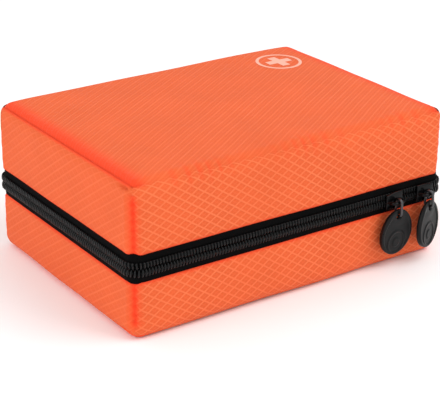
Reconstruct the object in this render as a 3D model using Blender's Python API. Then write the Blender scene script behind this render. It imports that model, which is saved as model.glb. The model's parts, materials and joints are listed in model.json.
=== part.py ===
"""Zip-round first aid kit: a padded two-part fabric case, its zip, and what it holds.

The case stands on its base. The origin is the centre of the underside, +X runs to the right along
the front, +Y to the back and +Z up. Sizes are in metres.
"""

import math

import bmesh
import bpy
from mathutils import Matrix, Vector

# Case
CASE_X, CASE_Y, CASE_Z = 0.178, 0.127, 0.076
CORNER_R = 0.006
EDGE_R = 0.007
WALL = 0.004
GAP = 0.0003
ARC_STEPS = 4
ZIP_Z = 0.0353
BAND_H = 0.0124
BASE_RIM_Z = ZIP_Z - BAND_H / 2
LID_RIM_Z = ZIP_Z + BAND_H / 2
LINING_T = 0.0005
LINING_DEPTH = WALL + GAP
BINDING_DEPTH = LINING_DEPTH + LINING_T + GAP
BINDING_T = 0.0008
BINDING_H = 0.003

# Zip
TAPE_DEPTH, TAPE_T = 0.0008, 0.001
TAPE_SPLIT = 0.0005
COIL_OUT, COIL_IN = -0.0015, 0.0005
COIL_H = 0.00285
COIL_CHAMFER = 0.0006
ZIP_END_X = 0.071
STOP_X = 0.0015
SPINE_X = ZIP_END_X - STOP_X - 3 * GAP
LID_HINGE_Y = CASE_Y / 2 + 0.0018

# Sliders, wire links and pull tabs
LEFT_SLIDER_X, RIGHT_SLIDER_X = 0.0562, 0.0754
PLATE_X, PLATE_H, PLATE_T = 0.010, 0.0088, 0.0012
PLATE_OUT = 0.003
BACK_PLATE_X, BACK_PLATE_DEPTH, BACK_PLATE_T = 0.0068, 0.0021, 0.001
POST_X, POST_T = 0.003, 0.0005
LIP_T = 0.0007
BAR_OUT, BAR_R = 0.0064, 0.0009
LEG_INNER, LEG_T, LEG_H = 0.0016, 0.0014, 0.0026
LINK_WIRE_R, LINK_TOP_R, LINK_LOW_R, LINK_CENTRES = 0.00065, 0.0019, 0.0022, 0.0045
LINK_TILT = math.radians(3)
TAB_TILT = math.radians(6)
RIGHT_TURN = math.radians(20)
TAB_L, TAB_SPAN, TAB_T, TAB_NECK_T = 0.0245, 0.0197, 0.0026, 0.002
TAB_NARROWING = 0.12
TAB_EYE_R, TAB_EYE_BELOW_TOP = 0.0015, 0.0035
TAB_POINTS = 40

# Interior
FLOOR_Z = WALL + GAP + LINING_T + GAP
ROOM_X = CASE_X / 2 - BINDING_DEPTH - BINDING_T - GAP
ROOM_Y = CASE_Y / 2 - BINDING_DEPTH - BINDING_T - GAP
DIVIDER_Y, DIVIDER_T, DIVIDER_TOP = 0.010, 0.003, 0.040
ROLL_R, ROLL_Y = 0.020, 0.035
NET_Z, NET_T = 0.0615, 0.0006

# Scissors, lying flat with their tips to the left
PIVOT = Vector((-0.022, 0.002, 0.046))
BLADE_T = 0.0015
RIVET_R, RIVET_HEAD_R, RIVET_HEAD_T = 0.0012, 0.003, 0.0007
HANDLE_CENTRE = (0.042, 0.011)
HANDLE_OUTER = (0.014, 0.0095)
HANDLE_INNER = (0.009, 0.006)


def clear_scene():
    """Remove every object of the start-up scene."""
    for item in list(bpy.data.objects):
        bpy.data.objects.remove(item, do_unlink=True)


def material(name, rgb, roughness, metallic=0.0):
    """A Principled material from 0-255 display colours."""
    made = bpy.data.materials.new(name)
    made.use_nodes = True
    shader = made.node_tree.nodes["Principled BSDF"]
    linear = [(value / 255) ** 2.2 for value in rgb]
    shader.inputs["Base Color"].default_value = (*linear, 1.0)
    shader.inputs["Roughness"].default_value = roughness
    shader.inputs["Metallic"].default_value = metallic
    made.diffuse_color = (*linear, 1.0)
    return made


def add_mesh(name, bm, look):
    """Turn a bmesh into a named object with outward faces and one material."""
    bmesh.ops.recalc_face_normals(bm, faces=bm.faces)
    mesh = bpy.data.meshes.new(name)
    bm.to_mesh(mesh)
    bm.free()
    mesh.materials.append(look)
    mesh.shade_smooth()
    mesh.set_sharp_from_angle(angle=math.radians(35))
    item = bpy.data.objects.new(name, mesh)
    bpy.context.scene.collection.objects.link(item)
    return item


def loft(rings, closed=False):
    """Skin a list of equal-length point rings, capped at both ends or closed on itself."""
    bm = bmesh.new()
    loops = [[bm.verts.new(point) for point in ring] for ring in rings]
    pairs = list(zip(loops, loops[1:]))
    if closed:
        pairs.append((loops[-1], loops[0]))
    for first, second in pairs:
        for i in range(len(first)):
            j = (i + 1) % len(first)
            bm.faces.new((first[i], first[j], second[j], second[i]))
    if not closed:
        bm.faces.new(loops[0])
        bm.faces.new(loops[-1])
    return bm


def rounded_rectangle(low, high, radius, z, steps=ARC_STEPS):
    """Points of a rectangle with round corners, from the back left corner, anticlockwise."""
    points = []
    corners = (
        (low[0] + radius, high[1] - radius, 90),
        (low[0] + radius, low[1] + radius, 180),
        (high[0] - radius, low[1] + radius, 270),
        (high[0] - radius, high[1] - radius, 0),
    )
    for centre_x, centre_y, start in corners:
        for step in range(steps + 1):
            angle = math.radians(start + 90 * step / steps)
            x = centre_x + radius * math.cos(angle)
            y = centre_y + radius * math.sin(angle)
            points.append(Vector((x, y, z)))
    return points


def wall_ring(depth, z):
    """The case's outline at a depth inside its outer wall; a negative depth is outside it."""
    half_x = CASE_X / 2 - depth
    half_y = CASE_Y / 2 - depth
    radius = max(CORNER_R - depth, 0.0005)
    return rounded_rectangle((-half_x, -half_y), (half_x, half_y), radius, z)


def zip_path(depth, z):
    """The zip's open path: from its left end on the back, round the front, to its right end."""
    back_y = CASE_Y / 2 - depth
    left_end = Vector((-ZIP_END_X, back_y, z))
    right_end = Vector((ZIP_END_X, back_y, z))
    return [left_end] + wall_ring(depth, z) + [right_end]


def sweep(profile, path):
    """Cross-sections of a (depth, z) profile at each point of a path function."""
    runs = [path(depth, z) for depth, z in profile]
    return [list(section) for section in zip(*runs)]


def edge_arc(inner_z, outer_z, steps=3):
    """(depth, z) points round an outer edge, from the wall to the flat face."""
    points = []
    direction = 1 if outer_z > inner_z else -1
    for step in range(steps + 1):
        angle = math.radians(90 * step / steps)
        depth = EDGE_R * (1 - math.cos(angle))
        points.append((depth, outer_z - direction * EDGE_R * (1 - math.sin(angle))))
    return points


def tray(name, rim_z, flat_z, depth, thickness, look):
    """An open tray with one flat side: a shell half, or the lining inside it."""
    inward = 1 if rim_z > flat_z else -1
    if depth == 0:
        outside = edge_arc(rim_z, flat_z)
    else:
        outside = [(depth, flat_z)]
    inside = [(depth + thickness, flat_z + inward * thickness), (depth + thickness, rim_z)]
    profile = inside + [(depth, rim_z)] + outside
    return add_mesh(name, loft([wall_ring(d, z) for d, z in profile]), look)


def band(name, low_z, high_z, look):
    """A flat strip of zip tape along the zip's path."""
    inner = TAPE_DEPTH + TAPE_T
    profile = [(TAPE_DEPTH, low_z), (TAPE_DEPTH, high_z), (inner, high_z), (inner, low_z)]
    return add_mesh(name, loft(sweep(profile, zip_path)), look)


def coil(name, low_z, look):
    """One half of the zip's coil, as a plain bead with chamfered edges."""
    high_z = low_z + COIL_H
    cut = COIL_CHAMFER
    profile = [
        (COIL_OUT, low_z + cut),
        (COIL_OUT, high_z - cut),
        (COIL_OUT + cut, high_z),
        (COIL_IN, high_z),
        (COIL_IN, low_z),
        (COIL_OUT + cut, low_z),
    ]
    return add_mesh(name, loft(sweep(profile, zip_path)), look)


def binding(name, centre_z, look):
    """The bound seam inside the rim, where lining, wall and tape are sewn together."""
    low_z = centre_z - BINDING_H / 2
    high_z = centre_z + BINDING_H / 2
    inner = BINDING_DEPTH + BINDING_T
    profile = [(BINDING_DEPTH, low_z), (BINDING_DEPTH, high_z), (inner, high_z), (inner, low_z)]
    return add_mesh(name, loft(sweep(profile, wall_ring), closed=True), look)


def block(name, low, high, look, radius=0.003, edge=0.0015):
    """A pack or box with round upright corners and chamfered top and bottom edges."""
    rings = []
    for inset, z in ((edge, low[2]), (0, low[2] + edge), (0, high[2] - edge), (edge, high[2])):
        low_corner = (low[0] + inset, low[1] + inset)
        high_corner = (high[0] - inset, high[1] - inset)
        rings.append(rounded_rectangle(low_corner, high_corner, max(radius - inset, 0.0004), z, 2))
    return add_mesh(name, loft(rings), look)


def plain_box(name, low, high, look):
    """A sharp-edged box between two corners."""
    bm = bmesh.new()
    bmesh.ops.create_cube(bm, size=1.0)
    centre = (Vector(low) + Vector(high)) / 2
    size = Vector(high) - Vector(low)
    place = Matrix.Translation(centre) @ Matrix.Diagonal((*size, 1))
    bmesh.ops.transform(bm, verts=bm.verts, matrix=place)
    return add_mesh(name, bm, look)


def circle(radius, x, centre, points=32):
    """A circle about the X direction."""
    ring = []
    for i in range(points):
        angle = 2 * math.pi * i / points
        y = centre[0] + radius * math.cos(angle)
        z = centre[1] + radius * math.sin(angle)
        ring.append(Vector((x, y, z)))
    return ring


def roll(name, start_x, end_x, outer_r, look):
    """A rolled bandage: a solid cylinder along X with small chamfers."""
    centre = (ROLL_Y, FLOOR_Z + ROLL_R + GAP)
    edge = 0.001
    sections = (
        (outer_r - edge, start_x),
        (outer_r, start_x + edge),
        (outer_r, end_x - edge),
        (outer_r - edge, end_x),
    )
    return add_mesh(name, loft([circle(r, x, centre) for r, x in sections]), look)


def tube_roll(name, start_x, end_x, outer_r, inner_r, look):
    """A hollow roll or its core: a tube along X."""
    centre = (ROLL_Y, FLOOR_Z + ROLL_R + GAP)
    sections = ((inner_r, start_x), (outer_r, start_x), (outer_r, end_x), (inner_r, end_x))
    return add_mesh(name, loft([circle(r, x, centre) for r, x in sections], closed=True), look)


def as_cutter(item):
    """Hide a helper body that only shapes another one."""
    item.hide_render = True
    item.display_type = "WIRE"
    return item


def combine(target, helper, operation):
    """Add or cut away a helper body."""
    change = target.modifiers.new(helper.name, "BOOLEAN")
    change.operation = operation
    change.solver = "EXACT"
    change.object = as_cutter(helper)


def slider(name, centre_x, look):
    """A zip slider: two plates joined by a thin post, a lower lip, and a bridge with a round bar."""
    wall_y = -CASE_Y / 2
    plate_y = wall_y - PLATE_OUT
    inside_plate_y = plate_y + PLATE_T / 2
    low_z = ZIP_Z - PLATE_H / 2
    high_z = ZIP_Z + PLATE_H / 2
    back_y = wall_y + BACK_PLATE_DEPTH
    leg_y = wall_y - BAR_OUT - BAR_R
    leg_low_z = ZIP_Z - LEG_H / 2
    leg_high_z = ZIP_Z + LEG_H / 2
    leg_outer = LEG_INNER + LEG_T
    half = PLATE_X / 2
    lip_half = half - 0.0002
    back_half = BACK_PLATE_X / 2
    post_half = POST_X / 2

    def part(part_name, start, end):
        low = (centre_x + start[0], start[1], start[2])
        high = (centre_x + end[0], end[1], end[2])
        return plain_box(part_name, low, high, look)

    body = part(name, (-half, plate_y, low_z), (half, plate_y + PLATE_T, high_z))
    back = part(
        f"{name}_back_plate",
        (-back_half, back_y, low_z + 0.0004),
        (back_half, back_y + BACK_PLATE_T, high_z - 0.0004),
    )
    post = part(
        f"{name}_post",
        (-post_half, inside_plate_y, ZIP_Z - POST_T / 2),
        (post_half, back_y + BACK_PLATE_T / 2, ZIP_Z + POST_T / 2),
    )
    lip = part(
        f"{name}_lip",
        (-lip_half, inside_plate_y, low_z + 0.0001),
        (lip_half, wall_y + TAPE_DEPTH - GAP, low_z + LIP_T),
    )
    combine(body, post, "UNION")
    combine(body, back, "UNION")
    combine(body, lip, "UNION")
    for side in (-1, 1):
        near, far = sorted((side * LEG_INNER, side * leg_outer))
        leg = part(f"{name}_leg", (near, leg_y, leg_low_z), (far, inside_plate_y, leg_high_z))
        combine(body, leg, "UNION")
    centre = (wall_y - BAR_OUT, ZIP_Z)
    reach = LEG_INNER + LEG_T / 2
    ends = [circle(BAR_R, centre_x + side * reach, centre, 16) for side in (-1, 1)]
    combine(body, add_mesh(f"{name}_bar", loft(ends), look), "UNION")
    return body


def pull_frame(centre_x, turn):
    """A slider's bar: an empty on the link's pivot, turned about Z as the pull hangs."""
    empty = bpy.data.objects.new("pull_frame", None)
    empty.location = (centre_x, -CASE_Y / 2 - BAR_OUT, ZIP_Z)
    empty.rotation_euler = (0, 0, turn)
    bpy.context.scene.collection.objects.link(empty)
    return empty


def link(name, frame, look):
    """A closed wire loop in the frame's YZ plane, round the bar above and the tab's eye below."""
    points = []
    for step in range(13):
        angle = math.pi * step / 12
        points.append((0, LINK_TOP_R * math.cos(angle), LINK_TOP_R * math.sin(angle)))
    for step in range(13):
        angle = math.pi * (1 + step / 12)
        points.append((0, LINK_LOW_R * math.cos(angle), -LINK_CENTRES + LINK_LOW_R * math.sin(angle)))
    curve = bpy.data.curves.new(name, "CURVE")
    curve.dimensions = "3D"
    curve.bevel_depth = LINK_WIRE_R
    curve.bevel_resolution = 2
    spline = curve.splines.new("POLY")
    spline.points.add(len(points) - 1)
    for point, place in zip(spline.points, points):
        point.co = (*place, 1)
    spline.use_cyclic_u = True
    curve.materials.append(look)
    item = bpy.data.objects.new(name, curve)
    bpy.context.scene.collection.objects.link(item)
    item.parent = frame
    item.rotation_euler = (LINK_TILT if frame.rotation_euler.z == 0 else 0, 0, 0)
    return item


def tab_outline(scale):
    """The tab's egg outline about its eye: a sine arch that the narrowing slims towards the top."""
    ring = []
    for i in range(TAB_POINTS):
        angle = 2 * math.pi * i / TAB_POINTS
        height = (1 + math.cos(angle)) / 2
        width = TAB_SPAN / 2 * math.sin(angle) * (1 - TAB_NARROWING * height ** 1.5)
        z = TAB_EYE_BELOW_TOP - TAB_L * (1 - height)
        ring.append(Vector((width * scale, 0, z * scale)))
    return ring


def tab_half_thickness(point):
    """Half the tab's thickness: thin at the neck, full below it."""
    blend = min(max((-point.z - 0.001) / 0.004, 0), 1)
    return (TAB_NECK_T + (TAB_T - TAB_NECK_T) * blend) / 2


def pull_tab(name, frame, look):
    """An oval tab with an eye near its slightly narrower top, hung on the link's lowest point."""
    eye = []
    for i in range(TAB_POINTS):
        angle = 2 * math.pi * i / TAB_POINTS
        eye.append(Vector((TAB_EYE_R * math.sin(angle), 0, TAB_EYE_R * math.cos(angle))))
    faces = []
    for side in (-1, 1):
        inner = [Vector((p.x, side * tab_half_thickness(p), p.z)) for p in eye]
        face = [Vector((p.x, side * tab_half_thickness(p), p.z)) for p in tab_outline(0.94)]
        edge = [Vector((p.x, side * tab_half_thickness(p) * 0.6, p.z)) for p in tab_outline(1)]
        faces.append([inner, face, edge])
    rings = faces[0] + faces[1][::-1]
    item = add_mesh(name, loft(rings, closed=True), look)
    hang = LINK_CENTRES + LINK_LOW_R
    tilted = frame.rotation_euler.z == 0
    tilt = LINK_TILT if tilted else 0
    item.parent = frame
    item.location = (0, hang * math.sin(tilt), -hang * math.cos(tilt))
    item.rotation_euler = (TAB_TILT if tilted else 0, 0, 0)
    return item


def flat_outline(points, low_z, high_z):
    """Extrude a flat outline between two heights, about the scissors' pivot."""
    rings = []
    for z in (low_z, high_z):
        rings.append([Vector((PIVOT.x + x, PIVOT.y + y, z)) for x, y in points])
    return loft(rings)


def scissor_blade(name, side, low_z, look):
    """A blade from its point on the left, past the pivot, to the tang that enters its handle."""
    outline = [(-0.050, 0), (-0.044, -0.0032), (-0.006, -0.0048), (0.004, -0.0046), (0.016, 0.0018)]
    outline += [(0.0245, 0.0052), (0.0235, 0.0082), (0.010, 0.0062), (-0.002, 0.0048), (-0.046, 0.0012)]
    points = [(x, side * y) for x, y in outline]
    blade = add_mesh(name, flat_outline(points, low_z, low_z + BLADE_T), look)
    drill = bmesh.new()
    hole_r = RIVET_R + GAP
    place = Matrix.Translation((PIVOT.x, PIVOT.y, low_z))
    bmesh.ops.create_cone(
        drill, cap_ends=True, segments=16, radius1=hole_r, radius2=hole_r, depth=0.006, matrix=place
    )
    combine(blade, add_mesh(f"{name}_drill", drill, look), "DIFFERENCE")
    return blade


def scissor_handle(name, side, look):
    """A finger loop with a short neck that starts where the blade's tang ends."""
    low_z = PIVOT.z
    high_z = PIVOT.z + 2 * BLADE_T + GAP
    rings = []
    sections = (
        (HANDLE_INNER, low_z),
        (HANDLE_OUTER, low_z),
        (HANDLE_OUTER, high_z),
        (HANDLE_INNER, high_z),
    )
    for axes, z in sections:
        ring = []
        for i in range(32):
            angle = 2 * math.pi * i / 32
            x = PIVOT.x + HANDLE_CENTRE[0] + axes[0] * math.cos(angle)
            y = PIVOT.y + side * (HANDLE_CENTRE[1] + axes[1] * math.sin(angle))
            ring.append(Vector((x, y, z)))
        rings.append(ring)
    handle = add_mesh(name, loft(rings, closed=True), look)
    neck = [(0.0249, 0.0052), (0.0315, 0.0062), (0.0315, 0.0110), (0.0239, 0.0084)]
    points = [(x, side * y) for x, y in neck]
    helper = add_mesh(f"{name}_neck", flat_outline(points, low_z + 0.0002, high_z - 0.0002), look)
    combine(handle, helper, "UNION")
    return handle


def rivet(name, look):
    """The scissors' pivot: a pin through both blades with a flat head at each end."""
    low = PIVOT.z - GAP
    high = PIVOT.z + 2 * BLADE_T + 2 * GAP
    sections = (
        (RIVET_HEAD_R, low - RIVET_HEAD_T),
        (RIVET_HEAD_R, low),
        (RIVET_R, low),
        (RIVET_R, high),
        (RIVET_HEAD_R, high),
        (RIVET_HEAD_R, high + RIVET_HEAD_T),
    )
    rings = []
    for radius, z in sections:
        ring = []
        for i in range(16):
            angle = 2 * math.pi * i / 16
            x = PIVOT.x + radius * math.cos(angle)
            y = PIVOT.y + radius * math.sin(angle)
            ring.append(Vector((x, y, z)))
        rings.append(ring)
    return add_mesh(name, loft(rings), look)


def wire_loop(name, points, radius, look):
    """A closed wire through flat points, such as a safety pin."""
    curve = bpy.data.curves.new(name, "CURVE")
    curve.dimensions = "3D"
    curve.bevel_depth = radius
    curve.bevel_resolution = 1
    spline = curve.splines.new("POLY")
    spline.points.add(len(points) - 1)
    for point, place in zip(spline.points, points):
        point.co = (*place, 1)
    spline.use_cyclic_u = True
    curve.materials.append(look)
    item = bpy.data.objects.new(name, curve)
    bpy.context.scene.collection.objects.link(item)
    return item


def build_case():
    """The two shells, their linings and bindings, and the fabric spine that hinges the lid."""
    fabric_look = material("orange_fabric", (242, 112, 68), 0.7)
    lining_look = material("lining_fabric", (205, 88, 54), 0.8)
    binding_look = material("binding_tape", (30, 32, 36), 0.8)
    tray("base_shell", BASE_RIM_Z - GAP / 2, 0, 0, WALL, fabric_look)
    tray("lid_shell", LID_RIM_Z + GAP / 2, CASE_Z, 0, WALL, fabric_look)
    tray("base_lining", BASE_RIM_Z - GAP / 2, WALL + GAP, LINING_DEPTH, LINING_T, lining_look)
    tray("lid_lining", LID_RIM_Z + GAP / 2, CASE_Z - WALL - GAP, LINING_DEPTH, LINING_T, lining_look)
    binding("base_binding", BASE_RIM_Z - GAP, binding_look)
    binding("lid_binding", LID_RIM_Z + GAP, binding_look)
    spine_look = material("spine_fabric", (238, 104, 62), 0.75)
    outer_y = CASE_Y / 2 - TAPE_DEPTH
    fold = GAP / 2
    low = (-SPINE_X, outer_y - TAPE_T, BASE_RIM_Z + GAP / 2)
    plain_box("base_spine_strip", low, (SPINE_X, outer_y, ZIP_Z - fold), spine_look)
    high = (SPINE_X, outer_y, LID_RIM_Z - GAP / 2)
    plain_box("lid_spine_strip", (-SPINE_X, outer_y - TAPE_T, ZIP_Z + fold), high, spine_look)


def build_zip():
    """Tapes, coils and end stops."""
    tape_look = material("zip_tape", (34, 36, 40), 0.85)
    coil_look = material("zip_coil", (18, 19, 21), 0.35)
    band("base_zip_tape", BASE_RIM_Z + GAP / 2, ZIP_Z - TAPE_SPLIT, tape_look)
    band("lid_zip_tape", ZIP_Z + TAPE_SPLIT, LID_RIM_Z - GAP / 2, tape_look)
    coil("base_zip_coil", ZIP_Z - TAPE_SPLIT - COIL_H, coil_look)
    coil("lid_zip_coil", ZIP_Z + TAPE_SPLIT, coil_look)
    stop_look = material("end_stop", (120, 122, 126), 0.35, 0.9)
    for side, name in ((-1, "left_zip_end_stop"), (1, "right_zip_end_stop")):
        near = side * (ZIP_END_X - GAP)
        far = near - side * STOP_X
        low = (min(near, far), CASE_Y / 2 - COIL_IN, ZIP_Z - TAPE_SPLIT - COIL_H)
        high = (max(near, far), CASE_Y / 2 - COIL_OUT, ZIP_Z - TAPE_SPLIT)
        plain_box(name, low, high, stop_look)


def build_pulls():
    """Two sliders on the front, each with its wire link and rubber tab."""
    slider_look = material("slider_metal", (26, 27, 30), 0.4, 0.6)
    link_look = material("link_wire", (96, 98, 102), 0.4, 0.8)
    tab_look = material("tab_rubber", (44, 44, 46), 0.6)
    for side, centre_x, turn in (("left", LEFT_SLIDER_X, 0), ("right", RIGHT_SLIDER_X, RIGHT_TURN)):
        slider(f"{side}_slider", centre_x, slider_look)
        frame = pull_frame(centre_x, turn)
        link(f"{side}_link", frame, link_look)
        pull_tab(f"{side}_pull_tab", frame, tab_look)


def build_rear_contents():
    """The divider, and the rolls behind it."""
    divider_look = material("divider_fabric", (58, 60, 66), 0.85)
    low = (-ROOM_X, DIVIDER_Y, FLOOR_Z)
    block("base_divider", low, (ROOM_X, DIVIDER_Y + DIVIDER_T, DIVIDER_TOP), divider_look, 0.001, 0.0008)
    gauze_look = material("bandage_cloth", (236, 232, 222), 0.9)
    roll("crepe_bandage_roll", -0.0815, -0.012, ROLL_R, gauze_look)
    roll("gauze_bandage_roll", -0.011, 0.044, ROLL_R - 0.001, gauze_look)
    tape_look = material("medical_tape", (232, 214, 190), 0.7)
    core_look = material("tape_core", (214, 206, 190), 0.8)
    for name, start_x, end_x in (("wide_tape", 0.046, 0.071), ("narrow_tape", 0.0725, 0.082)):
        tube_roll(f"{name}_roll", start_x, end_x, ROLL_R - 0.0015, 0.0087, tape_look)
        tube_roll(f"{name}_core", start_x, end_x, 0.0084, 0.007, core_look)


def build_front_contents():
    """Packs stacked in front of the divider; the right-hand part is left free."""
    paper_look = material("sachet_paper", (240, 242, 244), 0.55)
    z = FLOOR_Z
    for name in ("lower_gauze_pack", "middle_gauze_pack", "upper_gauze_pack"):
        block(name, (-0.082, -0.056, z), (-0.002, 0.004, z + 0.005), paper_look, 0.002, 0.001)
        z += 0.005 + GAP
    carton_look = material("plaster_carton", (222, 226, 230), 0.5)
    block("plaster_carton", (-0.081, -0.055, z), (-0.005, 0.001, 0.037), carton_look, 0.0006, 0.0005)
    glove_look = material("glove_pouch", (176, 200, 214), 0.4)
    block("glove_pack", (-0.080, -0.054, 0.037 + GAP), (-0.004, 0.002, 0.0445), glove_look, 0.004, 0.002)
    dressing_look = material("dressing_pouch", (228, 232, 226), 0.5)
    low = (0.001, -0.054, FLOOR_Z)
    block("wound_dressing_pack", low, (0.038, 0.006, 0.027), dressing_look, 0.004, 0.003)
    wipe_look = material("wipe_sachet", (206, 222, 230), 0.35)
    z = 0.027 + GAP
    for name in ("lower_wipe_sachet", "middle_wipe_sachet", "upper_wipe_sachet"):
        block(name, (0.002, -0.050, z), (0.037, 0.003, z + 0.002), wipe_look, 0.001, 0.0005)
        z += 0.002 + GAP
    build_small_tools(z)


def build_small_tools(rest_z):
    """Tweezers and two safety pins, lying on the top sachet."""
    steel_look = material("small_tool_steel", (176, 178, 182), 0.3, 1.0)
    length = 0.056
    start_y = -0.051
    outline = [(0, 0), (0.0045, 0.004), (0.0045, length * 0.6), (0.0012, length)]
    outline += [(0.0004, length), (0.0032, length * 0.6), (0.0032, 0.006), (0, 0.003)]
    mirrored = [(-x, y) for x, y in outline[-2:0:-1]]
    rings = []
    for z in (rest_z, rest_z + 0.0035):
        rings.append([Vector((0.010 + x, start_y + y, z)) for x, y in outline + mirrored])
    add_mesh("tweezers", loft(rings), steel_look)
    pin_look = material("safety_pin_wire", (200, 202, 206), 0.25, 1.0)
    for name, centre_x in (("left_safety_pin", 0.021), ("right_safety_pin", 0.030)):
        points = []
        for i in range(24):
            angle = 2 * math.pi * i / 24
            taper = 0.0028 + 0.0008 * math.sin(angle)
            reach = 0.013 if math.sin(angle) > 0 else -0.013
            x = centre_x + taper * math.cos(angle)
            y = -0.024 + reach + taper * math.sin(angle)
            points.append((x, y, rest_z + 0.0006))
        wire_loop(name, points, 0.0005, pin_look)


def build_scissors():
    """Small scissors: two blades on a rivet, each with its finger loop."""
    steel_look = material("scissor_steel", (188, 190, 194), 0.25, 1.0)
    grip_look = material("scissor_grip", (36, 38, 42), 0.5)
    scissor_blade("lower_scissor_blade", 1, PIVOT.z, steel_look)
    scissor_blade("upper_scissor_blade", -1, PIVOT.z + BLADE_T + GAP, steel_look)
    scissor_handle("lower_scissor_handle", 1, grip_look)
    scissor_handle("upper_scissor_handle", -1, grip_look)
    rivet("scissor_rivet", steel_look)


def build_lid_contents():
    """The lid's net pocket and the flat packs in it."""
    net_look = material("pocket_net", (40, 42, 46), 0.8)
    edge_look = material("pocket_elastic", (24, 25, 28), 0.7)
    front_y = -0.050
    plain_box("net_pocket", (-ROOM_X, front_y + GAP, NET_Z), (ROOM_X, ROOM_Y, NET_Z + NET_T), net_look)
    low = (-ROOM_X, front_y - 0.004, NET_Z - 0.0006)
    plain_box("net_pocket_elastic", low, (ROOM_X, front_y, NET_Z + 0.0012), edge_look)
    low_z = NET_Z + NET_T + GAP
    foil_look = material("foil_blanket_pouch", (196, 200, 206), 0.3, 0.4)
    cloth_look = material("triangular_bandage_pouch", (226, 226, 218), 0.6)
    shield_look = material("face_shield_pouch", (214, 92, 70), 0.5)
    packs = (
        ("foil_blanket_pack", (-0.080, -0.045), (-0.008, 0.054), 0.0068, foil_look),
        ("triangular_bandage_pack", (-0.005, -0.045), (0.080, 0.020), 0.0062, cloth_look),
        ("face_shield_pack", (-0.005, 0.023), (0.080, 0.054), 0.0062, shield_look),
    )
    for name, low, high, height, look in packs:
        block(name, (*low, low_z), (*high, low_z + height), look, 0.003, 0.002)
    leaflet_look = material("guide_leaflet", (244, 243, 238), 0.6)
    leaflet_z = low_z + packs[0][3] + GAP
    high = (0.055, 0.030, leaflet_z + 0.0008)
    block("guide_leaflet", (-0.050, -0.044, leaflet_z), high, leaflet_look, 0.0006, 0.0002)


def main():
    clear_scene()
    build_case()
    build_zip()
    build_pulls()
    build_rear_contents()
    build_front_contents()
    build_scissors()
    build_lid_contents()


main()
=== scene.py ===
"""Looks of a soft zip-round first aid kit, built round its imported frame.

Sizes are in metres. +X runs along the front wall to the right, +Y to the back, +Z up.
"""

import json
import math

import bmesh
import bpy
import numpy as np
from bpy.props import FloatProperty, FloatVectorProperty, PointerProperty
from bpy.types import Operator, Panel, PropertyGroup
from mathutils import Matrix, Vector


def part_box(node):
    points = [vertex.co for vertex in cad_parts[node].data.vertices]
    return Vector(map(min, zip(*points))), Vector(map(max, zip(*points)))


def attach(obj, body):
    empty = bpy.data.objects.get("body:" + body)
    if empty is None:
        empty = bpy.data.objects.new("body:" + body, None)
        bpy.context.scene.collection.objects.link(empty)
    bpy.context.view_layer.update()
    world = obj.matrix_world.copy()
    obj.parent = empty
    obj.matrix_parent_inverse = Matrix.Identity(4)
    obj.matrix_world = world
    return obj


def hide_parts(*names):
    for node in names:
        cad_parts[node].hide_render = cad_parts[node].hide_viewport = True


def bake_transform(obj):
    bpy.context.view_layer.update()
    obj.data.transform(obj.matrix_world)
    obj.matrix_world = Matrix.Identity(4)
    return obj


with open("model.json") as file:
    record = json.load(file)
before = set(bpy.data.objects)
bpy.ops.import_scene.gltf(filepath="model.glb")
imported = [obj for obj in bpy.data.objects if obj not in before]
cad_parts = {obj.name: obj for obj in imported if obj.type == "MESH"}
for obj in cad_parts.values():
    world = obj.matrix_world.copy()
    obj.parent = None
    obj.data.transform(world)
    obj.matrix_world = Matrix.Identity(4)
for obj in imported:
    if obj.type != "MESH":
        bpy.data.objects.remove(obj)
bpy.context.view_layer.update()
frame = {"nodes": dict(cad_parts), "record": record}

bl_info = {
    "name": "Soft First Aid Kit",
    "version": (1, 0, 0),
    "blender": (4, 5, 0),
    "location": "View3D > Sidebar > Aid Kit",
    "description": "Builds the fabric, zip, pulls and contents of a small first aid kit",
    "category": "Add Mesh",
}

TAU = 2 * math.pi
CASE_HALF = np.array(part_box("base_shell")[1][:2])
TOP_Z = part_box("lid_shell")[1][2]
BASE_RIM_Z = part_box("base_shell")[1][2]
LID_RIM_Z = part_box("lid_shell")[0][2]
ZIP_Z = (BASE_RIM_Z + LID_RIM_Z) / 2
CORNER_R = 0.006
EDGE_R = 0.007
FINE_THREAD = 0.00032
LINK_WIRE_R = 0.00065
BAR_R = 0.0009
SLIDER_FACE = 0.0026
FLOOR_HALF = 4
ZIP_END_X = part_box("base_spine_strip")[1][0] + 0.0024
JOINTS = {joint["name"]: joint for joint in frame["record"]["behaviour"]["joints"]}


# ---- sizes and colours that a user would change ----------------------------------------------


def colour(name, description, value):
    """A display colour picked in the sidebar."""
    return FloatVectorProperty(
        name=name, description=description, default=value, subtype="COLOR", size=3, min=0, max=1
    )


def size(name, description, value):
    """A length in the sidebar, in metres."""
    return FloatProperty(name=name, description=description, default=value, unit="LENGTH", precision=5)


def turn(name, description, degrees):
    """An angle in the sidebar, given in degrees."""
    return FloatProperty(name=name, description=description, default=math.radians(degrees), subtype="ANGLE")


class FabricSettings(PropertyGroup):
    """The padded case's cloth."""

    cell: colour("Cell colour", "Cloth between the heavy threads", (0.77, 0.114, 0.030))
    thread: colour("Thread colour", "Heavy threads of the diamond grid", (0.95, 0.212, 0.078))
    # The crease colour is painted shade: a deeper red laid in seams, folds and rolled edges, standing in
    # for their shade and the light reflected inside them.
    crease: colour("Crease colour", "Cloth in seams and rolled edges", (0.92, 0.052, 0.012))
    pitch: size("Thread pitch", "Distance between heavy threads of one direction", 0.00365)
    slant: turn("Thread slant", "Angle of the heavy threads", 34)
    crown: size("Crown", "How far the flat panels swell in the middle", 0.0007)
    seam_depth: size("Seam depth", "How deep the upright corner seams pull in", 0.0009)
    stitch_pitch: size("Stitch pitch", "Distance between stitches along a seam", 0.0040)


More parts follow.
